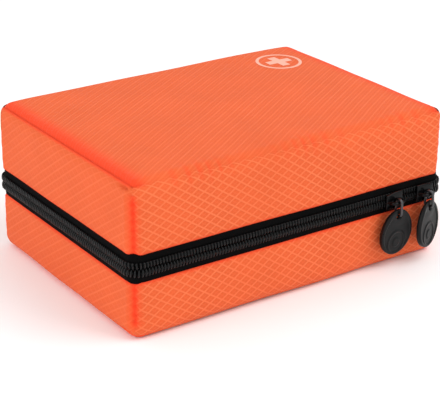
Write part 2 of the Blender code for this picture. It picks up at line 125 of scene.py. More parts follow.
class ZipSettings(PropertyGroup):
    """The coil zip."""

    coil: colour("Coil colour", "Moulded coil", (0.0026, 0.0027, 0.0030))
    tape: colour("Tape colour", "Woven tape", (0.0022, 0.0021, 0.0022))
    tooth_pitch: size("Tooth pitch", "Distance between two turns of one coil", 0.0016)
    metal: colour("Slider colour", "Enamelled sliders", (0.0022, 0.0022, 0.0026))
    wire: colour("Wire colour", "Plated wire of the links", (0.085, 0.085, 0.09))
    rubber: colour("Rubber colour", "Moulded pull tabs", (0.0040, 0.0040, 0.0043))


class PrintSettings(PropertyGroup):
    """The plain cross in a ring on the lid."""

    ink: colour("Ink colour", "Pale print on the lid", (0.96, 0.45, 0.33))
    radius: size("Ring radius", "Outer radius of the ring", 0.0122)
    stroke: size("Ring stroke", "Width of the ring's line", 0.0017)
    arm: size("Cross arm", "Half the length of the cross", 0.0072)
    arm_width: size("Arm width", "Width of the cross's arms", 0.0046)


class StageSettings(PropertyGroup):
    """Floor, light and camera."""

    floor: colour("Floor colour", "Pale floor", (0.98, 0.98, 0.98))
    daylight: FloatProperty(name="Surrounding light", description="Even light's strength", default=0.885)
    key: FloatProperty(name="Key light", description="Power of the main light", default=4.85, unit="POWER")
    azimuth: turn("Camera azimuth", "Round the kit", -34.4)
    elevation: turn("Camera elevation", "Above the horizon", 23.3)


# ---- materials --------------------------------------------------------------------------------


class Look:
    """A material being made: its shader, and short calls for the nodes that feed it."""

    def __init__(self, name, rgb=(0.5, 0.5, 0.5), roughness=0.5, metallic=0.0, **sockets):
        self.material = bpy.data.materials.new(name)
        self.material.use_nodes = True
        self.tree = self.material.node_tree
        self.shader = self.tree.nodes["Principled BSDF"]
        self.shader.inputs["Base Color"].default_value = (*rgb, 1)
        self.shader.inputs["Roughness"].default_value = roughness
        self.shader.inputs["Metallic"].default_value = metallic
        for socket, value in sockets.items():
            self.shader.inputs[socket.replace("_", " ")].default_value = value

    def node(self, kind, inputs=None, **settings):
        """A node with its settings, and its inputs linked or set."""
        made = self.tree.nodes.new(kind)
        for key, value in settings.items():
            setattr(made, key, value)
        for key, value in (inputs or {}).items():
            self.feed(made.inputs[key], value)
        return made

    def feed(self, socket, value):
        """Link a socket to another, or set its value."""
        if isinstance(value, bpy.types.NodeSocket):
            self.tree.links.new(value, socket)
        else:
            socket.default_value = value

    def sum(self, operation, *values):
        """One step of arithmetic."""
        return self.node("ShaderNodeMath", dict(enumerate(values)), operation=operation).outputs[0]

    def place(self, uv=None):
        """The piece's own UV map, or its object coordinates."""
        if uv:
            return self.node("ShaderNodeUVMap", uv_map=uv).outputs[0]
        return self.node("ShaderNodeTexCoord").outputs["Object"]

    def axes(self, place):
        """A position's three numbers."""
        return self.node("ShaderNodeSeparateXYZ", {0: place}).outputs[:]

    def noise(self, place, scale, detail=2.0, stretch=(1, 1, 1)):
        """Soft noise from 0 to 1, stretched along the axes."""
        mapped = self.node("ShaderNodeMapping", {"Vector": place, "Scale": stretch}).outputs[0]
        return self.node(
            "ShaderNodeTexNoise", {"Vector": mapped, "Scale": scale, "Detail": detail}
        ).outputs["Fac"]

    def ramp(self, value, low, high, out_low=0.0, out_high=1.0):
        """Map a range onto another, clamped."""
        inputs = {0: value, 1: low, 2: high, 3: out_low, 4: out_high}
        return self.node("ShaderNodeMapRange", inputs, clamp=True).outputs[0]

    def mix(self, factor, first, second):
        """Blend two colours."""
        blend = self.node("ShaderNodeMix", data_type="RGBA")
        self.feed(blend.inputs[0], factor)
        for index, value in ((6, first), (7, second)):
            plain = not isinstance(value, bpy.types.NodeSocket)
            self.feed(blend.inputs[index], (*value, 1) if plain else value)
        return blend.outputs[2]

    def tint(self, rgb, value, spread):
        """A colour that grows darker and lighter with a 0 to 1 value."""
        dark = tuple(channel * (1 - spread) for channel in rgb)
        light = tuple(min(channel * (1 + spread), 1) for channel in rgb)
        return self.mix(value, dark, light)

    def threads(self, u, v, pitch):
        """Height of a plain weave: crossing threads that rise and fall in turn."""
        waves = []
        for axis in (u, v):
            turns = self.sum("MULTIPLY", axis, math.pi / pitch)
            waves.append(self.sum("SINE", turns))
        return self.sum("ABSOLUTE", self.sum("MULTIPLY", *waves))

    def done(self, rgb=None, roughness=None, height=None, depth=0.0002):
        """Join colour, roughness and relief to the shader."""
        if rgb is not None:
            self.feed(self.shader.inputs["Base Color"], rgb)
        if roughness is not None:
            self.feed(self.shader.inputs["Roughness"], roughness)
        if height is not None:
            inputs = {"Height": height, "Distance": depth, "Strength": 1.0}
            bump = self.node("ShaderNodeBump", inputs)
            self.feed(self.shader.inputs["Normal"], bump.outputs[0])
        return self.material


def ripstop(name, first, second, between_share=0.34):
    """Diamond ripstop: two slanted families of raised heavy threads over a fine plain weave.

    first and second say how strongly each family shows, and between_share how much of that the
    lighter threads halfway between the heavy ones have.
    """
    cloth = bpy.context.scene.kit_fabric
    look = Look(name, roughness=0.62, Specular_IOR_Level=0.16)
    look.shader.inputs["Sheen Weight"].default_value = 0.08
    look.shader.inputs["Sheen Tint"].default_value = (1, 0.35, 0.15, 1)
    place = look.place("cloth")
    u, v, _ = look.axes(place)
    across = look.sum("MULTIPLY", u, math.sin(cloth.slant) / cloth.pitch)
    along = look.sum("MULTIPLY", v, math.cos(cloth.slant) / cloth.pitch)
    families = []
    for operation, weight in (("SUBTRACT", first), ("ADD", second)):
        turns = look.sum(operation, along, across)
        near = look.sum("PINGPONG", turns, 0.5)
        main = look.ramp(near, 0.05, 0.16, weight, 0.0)
        between = look.ramp(near, 0.5, 0.40, between_share * weight, 0.0)
        families.append(look.sum("MAXIMUM", main, between))
    patchy = look.ramp(look.noise(place, 24, 2), 0.35, 0.65, 0.72, 1.0)
    grid = look.sum("MULTIPLY", look.sum("MAXIMUM", *families), patchy)
    weave = look.threads(u, v, FINE_THREAD)
    wear = look.noise(place, 38, 3)
    cell = look.tint(cloth.cell, wear, 0.10)
    thread = look.tint(cloth.thread, wear, 0.05)
    rgb = look.mix(look.sum("MULTIPLY", grid, 0.85), cell, thread)
    # Painted shade: the crease attribute mixes the cloth towards the deeper red crease colour in seams,
    # folds and rolled edges.
    crease = look.node("ShaderNodeAttribute", attribute_name="crease").outputs["Fac"]
    rgb = look.mix(crease, rgb, tuple(cloth.crease))
    height = look.sum("ADD", grid, look.sum("MULTIPLY", weave, 0.22))
    roughness = look.ramp(grid, 0, 1, 0.66, 0.52)
    return look.done(rgb, roughness, height, 0.00022)


def woven(name, rgb, pitch=0.0005, roughness=0.85, depth=0.00012):
    """Plain cloth or tape: fine crossing threads."""
    look = Look(name, rgb, roughness, Specular_IOR_Level=0.2)
    place = look.place()
    x, y, z = look.axes(place)
    height = look.threads(look.sum("ADD", x, z), look.sum("ADD", y, z), pitch)
    rgb = look.tint(rgb, look.noise(place, 90, 3), 0.16)
    return look.done(rgb, look.ramp(height, 0, 1, roughness, roughness - 0.12), height, depth)


def herringbone(name, rgb, pitch=0.0007):
    """Zip tape: slanted ribs that change direction every few threads."""
    look = Look(name, rgb, 0.8, Specular_IOR_Level=0.05)
    place = look.place("cloth")
    u, v, _ = look.axes(place)
    turn = look.sum("PINGPONG", v, 0.0011)
    ribs = look.sum("SINE", look.sum("MULTIPLY", look.sum("ADD", u, turn), TAU / pitch))
    height = look.ramp(ribs, -1, 1)
    # Painted shade and highlight: the tape is darker in the grooves and lighter on the ribs, following the
    # rib height.
    dark, light = (tuple(channel * share for channel in rgb) for share in (0.55, 1.5))
    rgb = look.mix(height, dark, light)
    return look.done(rgb, None, height, 0.00012)


def moulded(name, rgb, roughness=0.45, grain=900, depth=0.00004, mottle=0.1, **sockets):
    """Moulded plastic, rubber or enamel with a fine grain and faint handling marks."""
    look = Look(name, rgb, roughness, **sockets)
    place = look.place()
    grain_height = look.noise(place, grain, 2)
    marks = look.noise(place, 160, 4)
    rgb = look.tint(rgb, marks, mottle)
    rough = look.ramp(marks, 0.3, 0.7, max(roughness - 0.08, 0.05), roughness + 0.08)
    return look.done(rgb, rough, grain_height, depth)


def ground_steel(name, rgb, roughness=0.28, stretch=(4, 90, 90)):
    """Steel with fine grinding lines along one axis."""
    look = Look(name, rgb, roughness, metallic=1.0)
    place = look.place()
    lines = look.noise(place, 30, 1.5, stretch)
    rgb = look.tint(rgb, lines, 0.1)
    return look.done(rgb, look.ramp(lines, 0.2, 0.8, roughness - 0.05, roughness + 0.08), lines, 0.00001)


def film(name, rgb, roughness=0.3, wrinkle=0.0004, scale=70, metallic=0.0):
    """Thin film or coated paper: creased, with a soft shine."""
    look = Look(name, rgb, roughness, metallic, Coat_Weight=0.15)
    place = look.place()
    creases = look.noise(place, scale, 4, (1, 1.6, 1))
    folded = look.sum("ABSOLUTE", look.sum("SUBTRACT", creases, 0.5))
    rgb = look.tint(rgb, creases, 0.06)
    return look.done(rgb, look.ramp(folded, 0, 0.2, roughness + 0.12, roughness), folded, wrinkle)


def banded(name, rgb, band_rgb, low, high, roughness=0.45):
    """A plain printed pack: a band of colour between two places along X, on faintly fibrous paper."""
    look = Look(name, rgb, roughness)
    place = look.place()
    x = look.axes(place)[0]
    fibres = look.noise(place, 320, 4)
    inside = look.sum("MULTIPLY", look.sum("GREATER_THAN", x, low), look.sum("LESS_THAN", x, high))
    rgb = look.mix(inside, look.tint(rgb, fibres, 0.05), look.tint(band_rgb, fibres, 0.08))
    return look.done(rgb, look.ramp(fibres, 0.2, 0.8, roughness - 0.06, roughness + 0.1), fibres, 0.00004)


# ---- surfaces ---------------------------------------------------------------------------------


def eased(value, low, high):
    """0 below low, 1 above high, and a smooth step between."""
    t = np.clip((value - low) / (high - low), 0, 1)
    return t * t * (3 - 2 * t)


def bell(value, width):
    """1 at 0, falling away on both sides as e to the minus square of value over width."""
    return np.exp(-((value / width) ** 2))


def stitches(run, pitch):
    """A cosine from 0 to 1 that peaks once in every pitch."""
    return 0.5 + 0.5 * np.cos(TAU * run / pitch)


def grid_faces(rows, columns, round_rows=False, round_columns=False):
    """Four-sided faces of a grid of points stored row by row; a round side joins last to first."""
    a, b = np.meshgrid(
        np.arange(rows if round_rows else rows - 1),
        np.arange(columns if round_columns else columns - 1),
        indexing="ij",
    )
    a_next, b_next = (a + 1) % rows, (b + 1) % columns
    corners = (a * columns + b, a * columns + b_next, a_next * columns + b_next, a_next * columns + b)
    return np.stack(corners, -1).reshape(-1, 4)


def gathered(parts):
    """Several (points, faces) surfaces as one."""
    points, faces, start = [], [], 0
    for part_points, part_faces in parts:
        part_points = np.asarray(part_points, float).reshape(-1, 3)
        points.append(part_points)
        faces.append(np.asarray(part_faces) + start)
        start += len(part_points)
    return np.concatenate(points), np.concatenate(faces)


def make_piece(name, points, faces, looks, uv=None, values=None, material_ids=None, weld=0.00001):
    """A smooth mesh object from grid surfaces, welded where they meet, with outward faces."""
    points = np.asarray(points, float).reshape(-1, 3)
    faces = np.asarray(faces)
    mesh = bpy.data.meshes.new(name)
    mesh.vertices.add(len(points))
    mesh.vertices.foreach_set("co", points.ravel())
    mesh.loops.add(faces.size)
    mesh.loops.foreach_set("vertex_index", faces.ravel())
    mesh.polygons.add(len(faces))
    mesh.polygons.foreach_set("loop_start", np.arange(0, faces.size, faces.shape[1]))
    mesh.update(calc_edges=True)
    for look in looks if isinstance(looks, (list, tuple)) else [looks]:
        mesh.materials.append(look)
    if material_ids is not None:
        mesh.polygons.foreach_set("material_index", np.asarray(material_ids, np.int32))
    if uv is not None:
        layer = mesh.uv_layers.new(name="cloth")
        layer.uv.foreach_set("vector", np.asarray(uv, np.float32)[faces.ravel()].ravel())
    for key, value in (values or {}).items():
        attribute = mesh.attributes.new(key, "FLOAT", "POINT")
        attribute.data.foreach_set("value", np.asarray(value, np.float32))
    mesh.validate()
    piece = bpy.data.objects.new(name, mesh)
    bpy.context.scene.collection.objects.link(piece)
    tidy_mesh(mesh, weld)
    mesh.shade_smooth()
    return piece


def tidy_mesh(mesh, weld):
    """Merge doubled points, drop collapsed faces and turn the rest outwards."""
    bm = bmesh.new()
    bm.from_mesh(mesh)
    bmesh.ops.remove_doubles(bm, verts=bm.verts, dist=weld)
    bmesh.ops.dissolve_degenerate(bm, edges=bm.edges, dist=weld / 10)
    bmesh.ops.recalc_face_normals(bm, faces=bm.faces)
    bm.to_mesh(mesh)
    bm.free()


def settle(piece, node, creased=None):
    """Put a piece in a CAD node's place, on its body, and sharpen real edges."""
    if creased:
        piece.data.set_sharp_from_angle(angle=math.radians(creased))
    bodies = frame["record"]["behaviour"]["bodies"]
    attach(piece, next(body for body, nodes in bodies.items() if node in nodes))
    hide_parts(node)
    return piece


def stand_in(name, shape, look, node, creased=None, **made):
    """Make a piece from (points, faces) in a CAD node's place."""
    return settle(make_piece(name, *shape, look, **made), node, creased)


def corners(node):
    """A CAD node's lowest and highest corner."""
    return np.array(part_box(node))


def tube(path, radius, sides=10, closed=False, normal=(0, 0, 1), squash=1.0):
    """A round bar along a flat path: circles across the path, built on the flat's own normal."""
    path = np.asarray(path, float)
    if closed:
        ahead = np.roll(path, -1, 0) - np.roll(path, 1, 0)
    else:
        ahead = np.gradient(path, axis=0)
    ahead /= np.linalg.norm(ahead, axis=1, keepdims=True)
    up = np.asarray(normal, float)
    side = np.cross(ahead, up)
    radius = np.broadcast_to(np.asarray(radius, float), len(path))[:, None, None]
    angle = np.linspace(0, TAU, sides, endpoint=False)[None, :, None]
    rings = path[:, None] + radius * (np.cos(angle) * side[:, None] + np.sin(angle) * squash * up)
    faces = grid_faces(len(path), sides, closed, True)
    if closed:
        return rings.reshape(-1, 3), faces
    ends = np.repeat(path[[0, -1]][:, None], sides, axis=1)
    rings = np.concatenate([ends[:1], rings, ends[1:]])
    return rings.reshape(-1, 3), grid_faces(len(path) + 2, sides, False, True)


def arc(centre, radius, start, end, count):
    """Points of an arc in a flat, angles in degrees."""
    angle = np.radians(np.linspace(start, end, count))
    return np.stack([centre[0] + radius * np.cos(angle), centre[1] + radius * np.sin(angle)], 1)


def turned(profile, sides, centre):
    """A profile of (radius, along) points turned about the line through centre that runs along X."""
    profile = np.asarray(profile, float)
    angle = np.linspace(0, TAU, sides, endpoint=False)
    radius, along = profile[:, :1], np.repeat(profile[:, 1:], sides, axis=1)
    first, second = radius * np.cos(angle), radius * np.sin(angle)
    points = np.stack([along, first, second], -1) + np.asarray(centre)
    return points.reshape(-1, 3), grid_faces(len(profile), sides, False, True)


def graded(low, high, count, ends=0.7):
    """Places between two limits, closer together towards both ends."""
    t = np.linspace(-1, 1, count)
    t = (1 - ends) * t + ends * np.sin(t * math.pi / 2)
    return (low + high) / 2 + (high - low) / 2 * t


SIDES = {
    "front": (0, 2, 1, -1),
    "back": (0, 2, 1, 1),
    "left": (1, 2, 0, -1),
    "right": (1, 2, 0, 1),
    "bottom": (0, 1, 2, -1),
    "top": (0, 1, 2, 1),
}


def box_sides(low, high, radii, counts, sides=tuple(SIDES), ends=0.7, open_z=0):
    """The sides of a box whose edges are rounded by an ellipsoid of the given radii.

    Each side is a grid on the sharp box. A point past the inner box, which is the sharp one shrunk by the
    radii, moves onto the ellipsoid round the inner box's nearest point. open_z is the sign of an end that
    stays straight. Returns (side, sharp points, rounded points, outward directions) for each side.
    """
    low, high, radii = (np.asarray(value, float) for value in (low, high, radii))
    inner_low, inner_high = low + radii, high - radii
    if open_z < 0:
        inner_low[2] = low[2]
    if open_z > 0:
        inner_high[2] = high[2]
    made = []
    for side in sides:
        u_axis, v_axis, flat_axis, sign = SIDES[side]
        u = graded(low[u_axis], high[u_axis], counts[u_axis], ends)
        v = graded(low[v_axis], high[v_axis], counts[v_axis], ends)
        sharp = np.zeros((len(v), len(u), 3))
        sharp[..., u_axis] = u
        sharp[..., v_axis] = v[:, None]
        sharp[..., flat_axis] = high[flat_axis] if sign > 0 else low[flat_axis]
        inner = np.clip(sharp, inner_low, inner_high)
        lean = (sharp - inner) / radii
        lean /= np.linalg.norm(lean, axis=-1, keepdims=True)
        made.append((side, sharp, inner + lean * radii, lean))
    return made


def soft_box(low, high, radius, counts=(9, 9, 7), shape=None):
    """A closed box with round edges. shape may move its points: it gets them with their directions."""
    radii = np.minimum(radius, (np.asarray(high, float) - np.asarray(low, float)) / 2.001)
    parts = []
    for _, _, rounded, lean in box_sides(low, high, radii, counts):
        points = shape(rounded, lean) if shape else rounded
        parts.append((points, grid_faces(*points.shape[:2])))
    return gathered(parts)


# ---- the padded case --------------------------------------------------------------------------


def swell(place):
    """Slow waves of the padding, the same on every side so that edges stay joined."""
    x, y, z = np.moveaxis(place, -1, 0)
    waves = np.sin(71 * x + 0.6) * np.cos(83 * y - 0.4) + 0.6 * np.sin(133 * y + 97 * x + 1.9)
    return 0.00013 * (waves + 0.5 * np.sin(160 * z + 60 * x))


def panel_rise(x, y):
    """How far a flat panel stands out: a crown that is flat in the middle, and puckers at its corners."""
    cloth = bpy.context.scene.kit_fabric
    crown = cloth.crown * (1 - (x / CASE_HALF[0]) ** 4) * (1 - (y / CASE_HALF[1]) ** 4)
    from_end, from_front = CASE_HALF[0] - abs(x), CASE_HALF[1] - abs(y)
    crown = crown - 0.0007 * bell(from_end, 0.008)
    away = np.hypot(from_end, from_front)
    fan = np.cos(11 * np.arctan2(from_front, from_end))
    return crown + 0.00016 * fan * np.exp(-away / 0.008) * eased(away, 0.004, 0.009)


def wall_rise(along, half, height, full):
    """How far an upright wall stands out, and how strongly painted shade darkens its corner seams, from 0
    to 1.

    The wall bulges a little. Each end has a groove on the seam, a soft roll beside it, a row of
    stitch dimples on the roll, and short puckers that die out away from the seam.
    """
    cloth = bpy.context.scene.kit_fabric
    middle = (1 - (along / half) ** 4) * np.sin(math.pi * np.clip(height / full, 0, 1))
    away = half - abs(along)
    reach = 1 - eased(height, full - 0.010, full - 0.003)
    groove = bell(away, 0.0031) * reach
    beside = bell(away - 0.0052, 0.0014) * reach
    stitch = stitches(height, cloth.stitch_pitch) ** 3
    pucker = np.sin(TAU * height / (2.1 * cloth.stitch_pitch) + 3 * np.sign(along)) * np.exp(-away / 0.006)
    rise = cloth.crown * middle - cloth.seam_depth * groove
    rise = rise + beside * 0.00024 - groove * 0.0006 * stitch + 0.00014 * pucker * reach
    # The second value is painted shade in the seam groove, deeper at each stitch.
    return rise, np.clip(1.35 * groove * (0.72 + 0.28 * stitch), 0, 1)


def edge_folds(x, from_edge):
    """Small folds across the lid's long upper edges, where the loose cloth turns over the padding.

    A sine whose phase and strength wander along the edge, dying out on both sides of it.
    """
    wave = np.sin(TAU * x / 0.0066 + 2.2 * np.sin(TAU * x / 0.047))
    strength = 0.55 + 0.45 * np.sin(TAU * x / 0.061 + 0.8)
    clear = eased(CASE_HALF[0] - abs(x), 0.006, 0.024)
    return wave * strength * clear * bell(from_edge, 0.0062)


def rolled_edge_shade(side, points, lean):
    """How strongly painted shade in the crease colour shows on the rolled upper edge: full above the ends'
    fold, fading inwards over 10 mm.
    """
    from_end = CASE_HALF[0] - abs(points[..., 0])
    upper = eased(abs(lean[..., 2]), 0.50, 0.74)
    if side in ("left", "right"):
        return 0.9 * upper
    inwards = bell(np.clip(from_end - 0.0035, 0, None), 0.0050)
    return 0.85 * upper * inwards * (abs(lean[..., 2]) > 0.5)


def corner_tuck(side, sharp, height, full):
    """Depth of the short fold at each end's top corners, at the front, where the padding turns two ways."""
    if side not in ("left", "right"):
        return np.zeros_like(height)
    along = CASE_HALF[1] + sharp[..., 1] - 0.0075
    across = height - (full - 0.0030)
    return 0.0020 * bell(along, 0.0036) * bell(across, 0.0010)


def hem(height):
    """How far the wall folds in at its rim: a quarter round, then a flat lip."""
    fold = 0.0013
    t = np.clip(1 - height / fold, 0, 1)
    return fold * (1 - np.sqrt(1 - t * t * 0.98)) + np.clip(-height, 0, None)


def case_half(name, rim_z, flat_z, looks):
    """One padded half: four walls and a flat panel, with its rim turned in to the zip tape."""
    upward = 1 if flat_z > rim_z else -1
    lip = 0.0032
    full = abs(flat_z - rim_z)
    low = np.array([*-CASE_HALF, min(rim_z - upward * lip, flat_z)])
    high = np.array([*CASE_HALF, max(rim_z - upward * lip, flat_z)])
    panel = "top" if upward > 0 else "bottom"
    sides = ("front", "back", "left", "right", panel)
    radii = (CORNER_R, CORNER_R, EDGE_R)
    parts, cloth, crease, ids = [], [], [], []
    for side, sharp, rounded, lean in box_sides(low, high, radii, (150, 112, 46), sides, 0.6, -upward):
        x, y, z = np.moveaxis(sharp, -1, 0)
        height = (z - rim_z) * upward
        if side == panel:
            rise, seam_shade = panel_rise(x, y), np.zeros_like(x)
            uv, look_id = (x, y), 2
        elif side in ("front", "back"):
            rise, seam_shade = wall_rise(x, CASE_HALF[0], height, full)
            uv, look_id = (x, np.sign(y) * (CASE_HALF[1] + full - height)), 0
        else:
            rise, seam_shade = wall_rise(y, CASE_HALF[1], height, full)
            uv, look_id = (y, z), 1
        if flat_z == 0 and side == panel:
            rise = np.zeros_like(rise)
        from_edge = CASE_HALF[1] - abs(y) if side == panel else full - height
        folds = edge_folds(x, from_edge) * (flat_z > 0) * (y < 0) * (side not in ("left", "right"))
        rise = rise + 0.00048 * folds
        flat_lean = lean * (1, 1, 0)
        points = rounded + lean * (rise + swell(rounded) * (height > 0))[..., None]
        points -= flat_lean * hem(height)[..., None]
        points -= lean * corner_tuck(side, sharp, height, full)[..., None]
        points[..., 2] = np.where(height < 0, rim_z, points[..., 2])
        points[..., 2] = np.clip(points[..., 2], 0, None)
        parts.append((points, grid_faces(*x.shape)))
        cloth.append(np.stack(uv, -1).reshape(-1, 2))
        # Painted shade in the crease colour: seam grooves with their stitches, the rolled edges, the
        # valleys of the edge folds, and the hem where the wall turns in at the rim.
        rolled = rolled_edge_shade(side, rounded, lean) + 0.46 * np.clip(-folds, 0, None)
        folded = 0.8 * (1 - eased(height, 0.0002, 0.0022))
        crease.append(np.clip(0.95 * seam_shade + rolled + folded, 0, 1).ravel())
        ids.append(np.full(len(parts[-1][1]), look_id))
    points, faces = gathered(parts)
    values = {"crease": np.concatenate(crease)}
    return make_piece(name, points, faces, looks, np.concatenate(cloth), values, np.concatenate(ids))


class KIT_OT_case(Operator):
    """Make the two padded halves of the case"""

    bl_idname = "kit.case"
    bl_label = "Padded case"

    def execute(self, context):
        looks = [
            ripstop("ripstop_wall", 0.85, 0.95),
            ripstop("ripstop_end", 0.22, 0.38),
            ripstop("ripstop_panel", 0.46, 0.08, 0.7),
        ]
        lid = case_half("lid_cover", LID_RIM_Z, TOP_Z, looks)
        settle(lid, "lid_shell")
        base = case_half("base_cover", BASE_RIM_Z, 0.0, looks)
        settle(base, "base_shell")
        return {"FINISHED"}


def ring_and_cross(printing):
    """Flat outlines of the print as grids: a ring, and a cross of two bars that don't overlap."""
    angle, radius = np.meshgrid(
        np.linspace(0, TAU, 97), [printing.radius - printing.stroke, printing.radius], indexing="ij"
    )
    ring = np.stack([radius * np.cos(angle), radius * np.sin(angle)], -1)
    half, arm = printing.arm_width / 2, printing.arm
    bars = []
    limits = ((-arm, -half, arm, half), (-half, half, half, arm), (-half, -arm, half, -half))
    for low_x, low_y, high_x, high_y in limits:
        x, y = np.linspace(low_x, high_x, 12), np.linspace(low_y, high_y, 12)
        bars.append(np.stack(np.meshgrid(x, y, indexing="ij"), -1))
    return [ring, *bars]


class KIT_OT_print(Operator):
    """Print a plain cross in a ring on the lid, in its far right corner"""

    bl_idname = "kit.print"
    bl_label = "Lid print"

    def execute(self, context):
        printing = context.scene.kit_print
        centre = CASE_HALF - (0.0270, 0.0268)
        parts = []
        for flat in ring_and_cross(printing):
            x, y = flat[..., 0] + centre[0], flat[..., 1] + centre[1]
            place = np.stack([x, y, np.full_like(x, TOP_Z)], -1)
            z = TOP_Z + panel_rise(x, y) + swell(place) + 0.00006
            parts.append((np.stack([x, y, z], -1), grid_faces(*x.shape)))
        points, faces = gathered(parts)
        look = Look("lid_ink", tuple(printing.ink), 0.55)
        place = look.place()
        x, y, _ = look.axes(place)
        weave = look.threads(x, y, FINE_THREAD)
        ink = look.done(look.tint(printing.ink, look.noise(place, 300, 3), 0.05), None, weave, 0.00006)
        piece = make_piece("lid_print", points, faces, ink)
        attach(piece, "lid")
        return {"FINISHED"}


# ---- the zip ----------------------------------------------------------------------------------


def zip_line(step=0.0004):
    """The zip's line on the wall's outer face: its running length, places and outward directions.

    It starts on the back near the left corner and runs round the left end, the front and the right
    end to the same place on the other side: straight runs joined by quarter circles.
    """
    x, y = CASE_HALF - CORNER_R
    places, outward = [np.array([[-ZIP_END_X, CASE_HALF[1]]])], [np.array([[0.0, 1.0]])]
    for centre, start in (((-x, y), 90), ((-x, -y), 180), ((x, -y), 270), ((x, y), 360)):
        turn = arc((0, 0), 1, start, start + 90, 25)
        places.append(np.asarray(centre) + CORNER_R * turn)
        outward.append(turn)
    places.append(np.array([[ZIP_END_X, CASE_HALF[1]]]))
    outward.append(np.array([[0.0, 1.0]]))
    places, outward = np.concatenate(places), np.concatenate(outward)
    run = np.concatenate([[0], np.cumsum(np.linalg.norm(np.diff(places, axis=0), axis=1))])
    even = np.linspace(0, run[-1], int(run[-1] / step))
    return even, along_line(run, places, even), along_line(run, outward, even)


def along_line(run, values, wanted):
    """Values at places along a line."""
    return np.stack([np.interp(wanted, run, values[:, axis]) for axis in range(2)], 1)


def swept(profile, line, thin=1):
    """A closed (outward, height) outline carried along the zip's line, with its ends closed."""
    run, places, outward = (values[::thin] for values in line)
    profile = np.asarray(profile, float)
    flat = places[:, None] + outward[:, None] * profile[None, :, :1]
    height = np.broadcast_to(profile[None, :, 1:], (len(run), len(profile), 1))
    rings = np.concatenate([flat, height], -1)
    middle = rings[[0, -1]].mean(1, keepdims=True) * np.ones((1, len(profile), 1))
    rings = np.concatenate([middle[:1], rings, middle[1:]])
    lengths = np.concatenate([run[:1], run, run[-1:]])
    across = np.concatenate([[0], np.cumsum(np.linalg.norm(np.diff(profile, axis=0), axis=1))])
    uv = np.stack(np.meshgrid(lengths, across, indexing="ij"), -1)
    faces = grid_faces(len(lengths), len(profile), False, True)
    return rings.reshape(-1, 3), faces, uv.reshape(-1, 2)


def tape_outline(rim_z, toward):
    """A tape's section: tucked in behind the rim, bowed a little, with a bead where the coil is sewn."""
    reach = abs(ZIP_Z - rim_z) - 0.0005
    t = np.linspace(-0.12, 1, 15)
    bow = 0.00025 * np.sin(math.pi * np.clip(t, 0, 1)) + 0.0002 * bell(t - 0.42, 0.06)
    outer = np.stack([-0.0006 + bow, rim_z + toward * reach * t], 1)
    inner = np.stack([-0.0017 + 0 * t, rim_z + toward * reach * t], 1)
    return np.concatenate([outer, inner[::-1]])


def tooth():
    """One turn of the coil as a bent bar: (along, outward, towards the other half) points and faces.

    The bar lies on the tape, swells into a head past the zip's middle, and returns behind.
    """
    spine = np.array(
        [
            (0.30, -3.35),
            (0.70, -3.10),
            (0.84, -2.40),
            (0.82, -1.50),
            (0.62, -0.85),
            (0.12, -0.35),
            (-0.10, 0.16),
            (-0.30, -0.20),
            (-0.30, -1.20),
            (-0.30, -2.90),
        ]
    )
    width = np.array([0.40, 0.50, 0.52, 0.52, 0.46, 0.36, 0.34, 0.36, 0.40, 0.40])
    thick = np.array([0.32, 0.40, 0.42, 0.42, 0.40, 0.38, 0.36, 0.34, 0.32, 0.30])
    slant = 0.10 * (spine[:, 1] + 1.6)
    ahead = np.gradient(spine, axis=0)
    ahead /= np.linalg.norm(ahead, axis=1, keepdims=True)
    across = np.stack([-ahead[:, 1], ahead[:, 0]], 1)
    angle = np.linspace(0, TAU, 6, endpoint=False)
    along = slant[:, None] + width[:, None] * np.cos(angle)
    flat = spine[:, None] + across[:, None] * (thick[:, None] * np.sin(angle))[..., None]
    points = np.concatenate([along[..., None], flat], -1)
    ends = points[[0, -1]].mean(1, keepdims=True) * np.ones((1, 6, 1))
    points = np.concatenate([ends[:1], points, ends[1:]])
    return points.reshape(-1, 3) * 0.001, grid_faces(len(points), 6, False, True)


def coil_half(line, pitch, toward, offset):
    """All turns of one half: the one turn set down along the line at every pitch."""
    run, places, outward = line
    stations = np.arange(pitch * (0.6 + offset), run[-1] - pitch * 0.6, pitch)
    at, out = along_line(run, places, stations), along_line(run, outward, stations)
    out /= np.linalg.norm(out, axis=1, keepdims=True)
    forward = np.stack([-out[:, 1], out[:, 0]], 1)
    turn, faces = tooth()
    flat = at[:, None] + out[:, None] * turn[None, :, 1:2] + forward[:, None] * turn[None, :, :1]
    height = np.broadcast_to(ZIP_Z + toward * turn[None, :, 2:], (len(at), len(turn), 1))
    points = np.concatenate([flat, height], -1)
    starts = np.arange(len(at))[:, None, None] * len(turn)
    return points.reshape(-1, 3), (faces[None] + starts).reshape(-1, 4)


class KIT_OT_zip(Operator):
    """Make the tapes, the two interlocked coils and the end stops"""

    bl_idname = "kit.zip"
    bl_label = "Coil zip"

    def execute(self, context):
        settings = context.scene.kit_zip
        line = zip_line()
        tape = herringbone("zip_tape_weave", tuple(settings.tape))
        nylon = tuple(settings.coil)
        coil = moulded("coil_nylon", nylon, 0.28, 1500, 0.00002, 0.25, Specular_IOR_Level=0.22)
        for body, rim_z, toward, offset in (("base", BASE_RIM_Z, 1, 0.0), ("lid", LID_RIM_Z, -1, 0.5)):
            points, faces, uv = swept(tape_outline(rim_z, toward), line, 3)
            stand_in(f"{body}_tape", (points, faces), tape, f"{body}_zip_tape", uv=uv)
            turns = coil_half(line, settings.tooth_pitch, toward, offset)
            stand_in(f"{body}_coil", turns, coil, f"{body}_zip_coil")
        stop = ground_steel("stop_metal", (0.22, 0.22, 0.23), 0.4)
        for side in ("left", "right"):
            clip = soft_box(*corners(f"{side}_zip_end_stop"), 0.0004, (7, 7, 9), pinched)
            stand_in(f"{side}_end_stop", clip, stop, f"{side}_zip_end_stop")
        return {"FINISHED"}


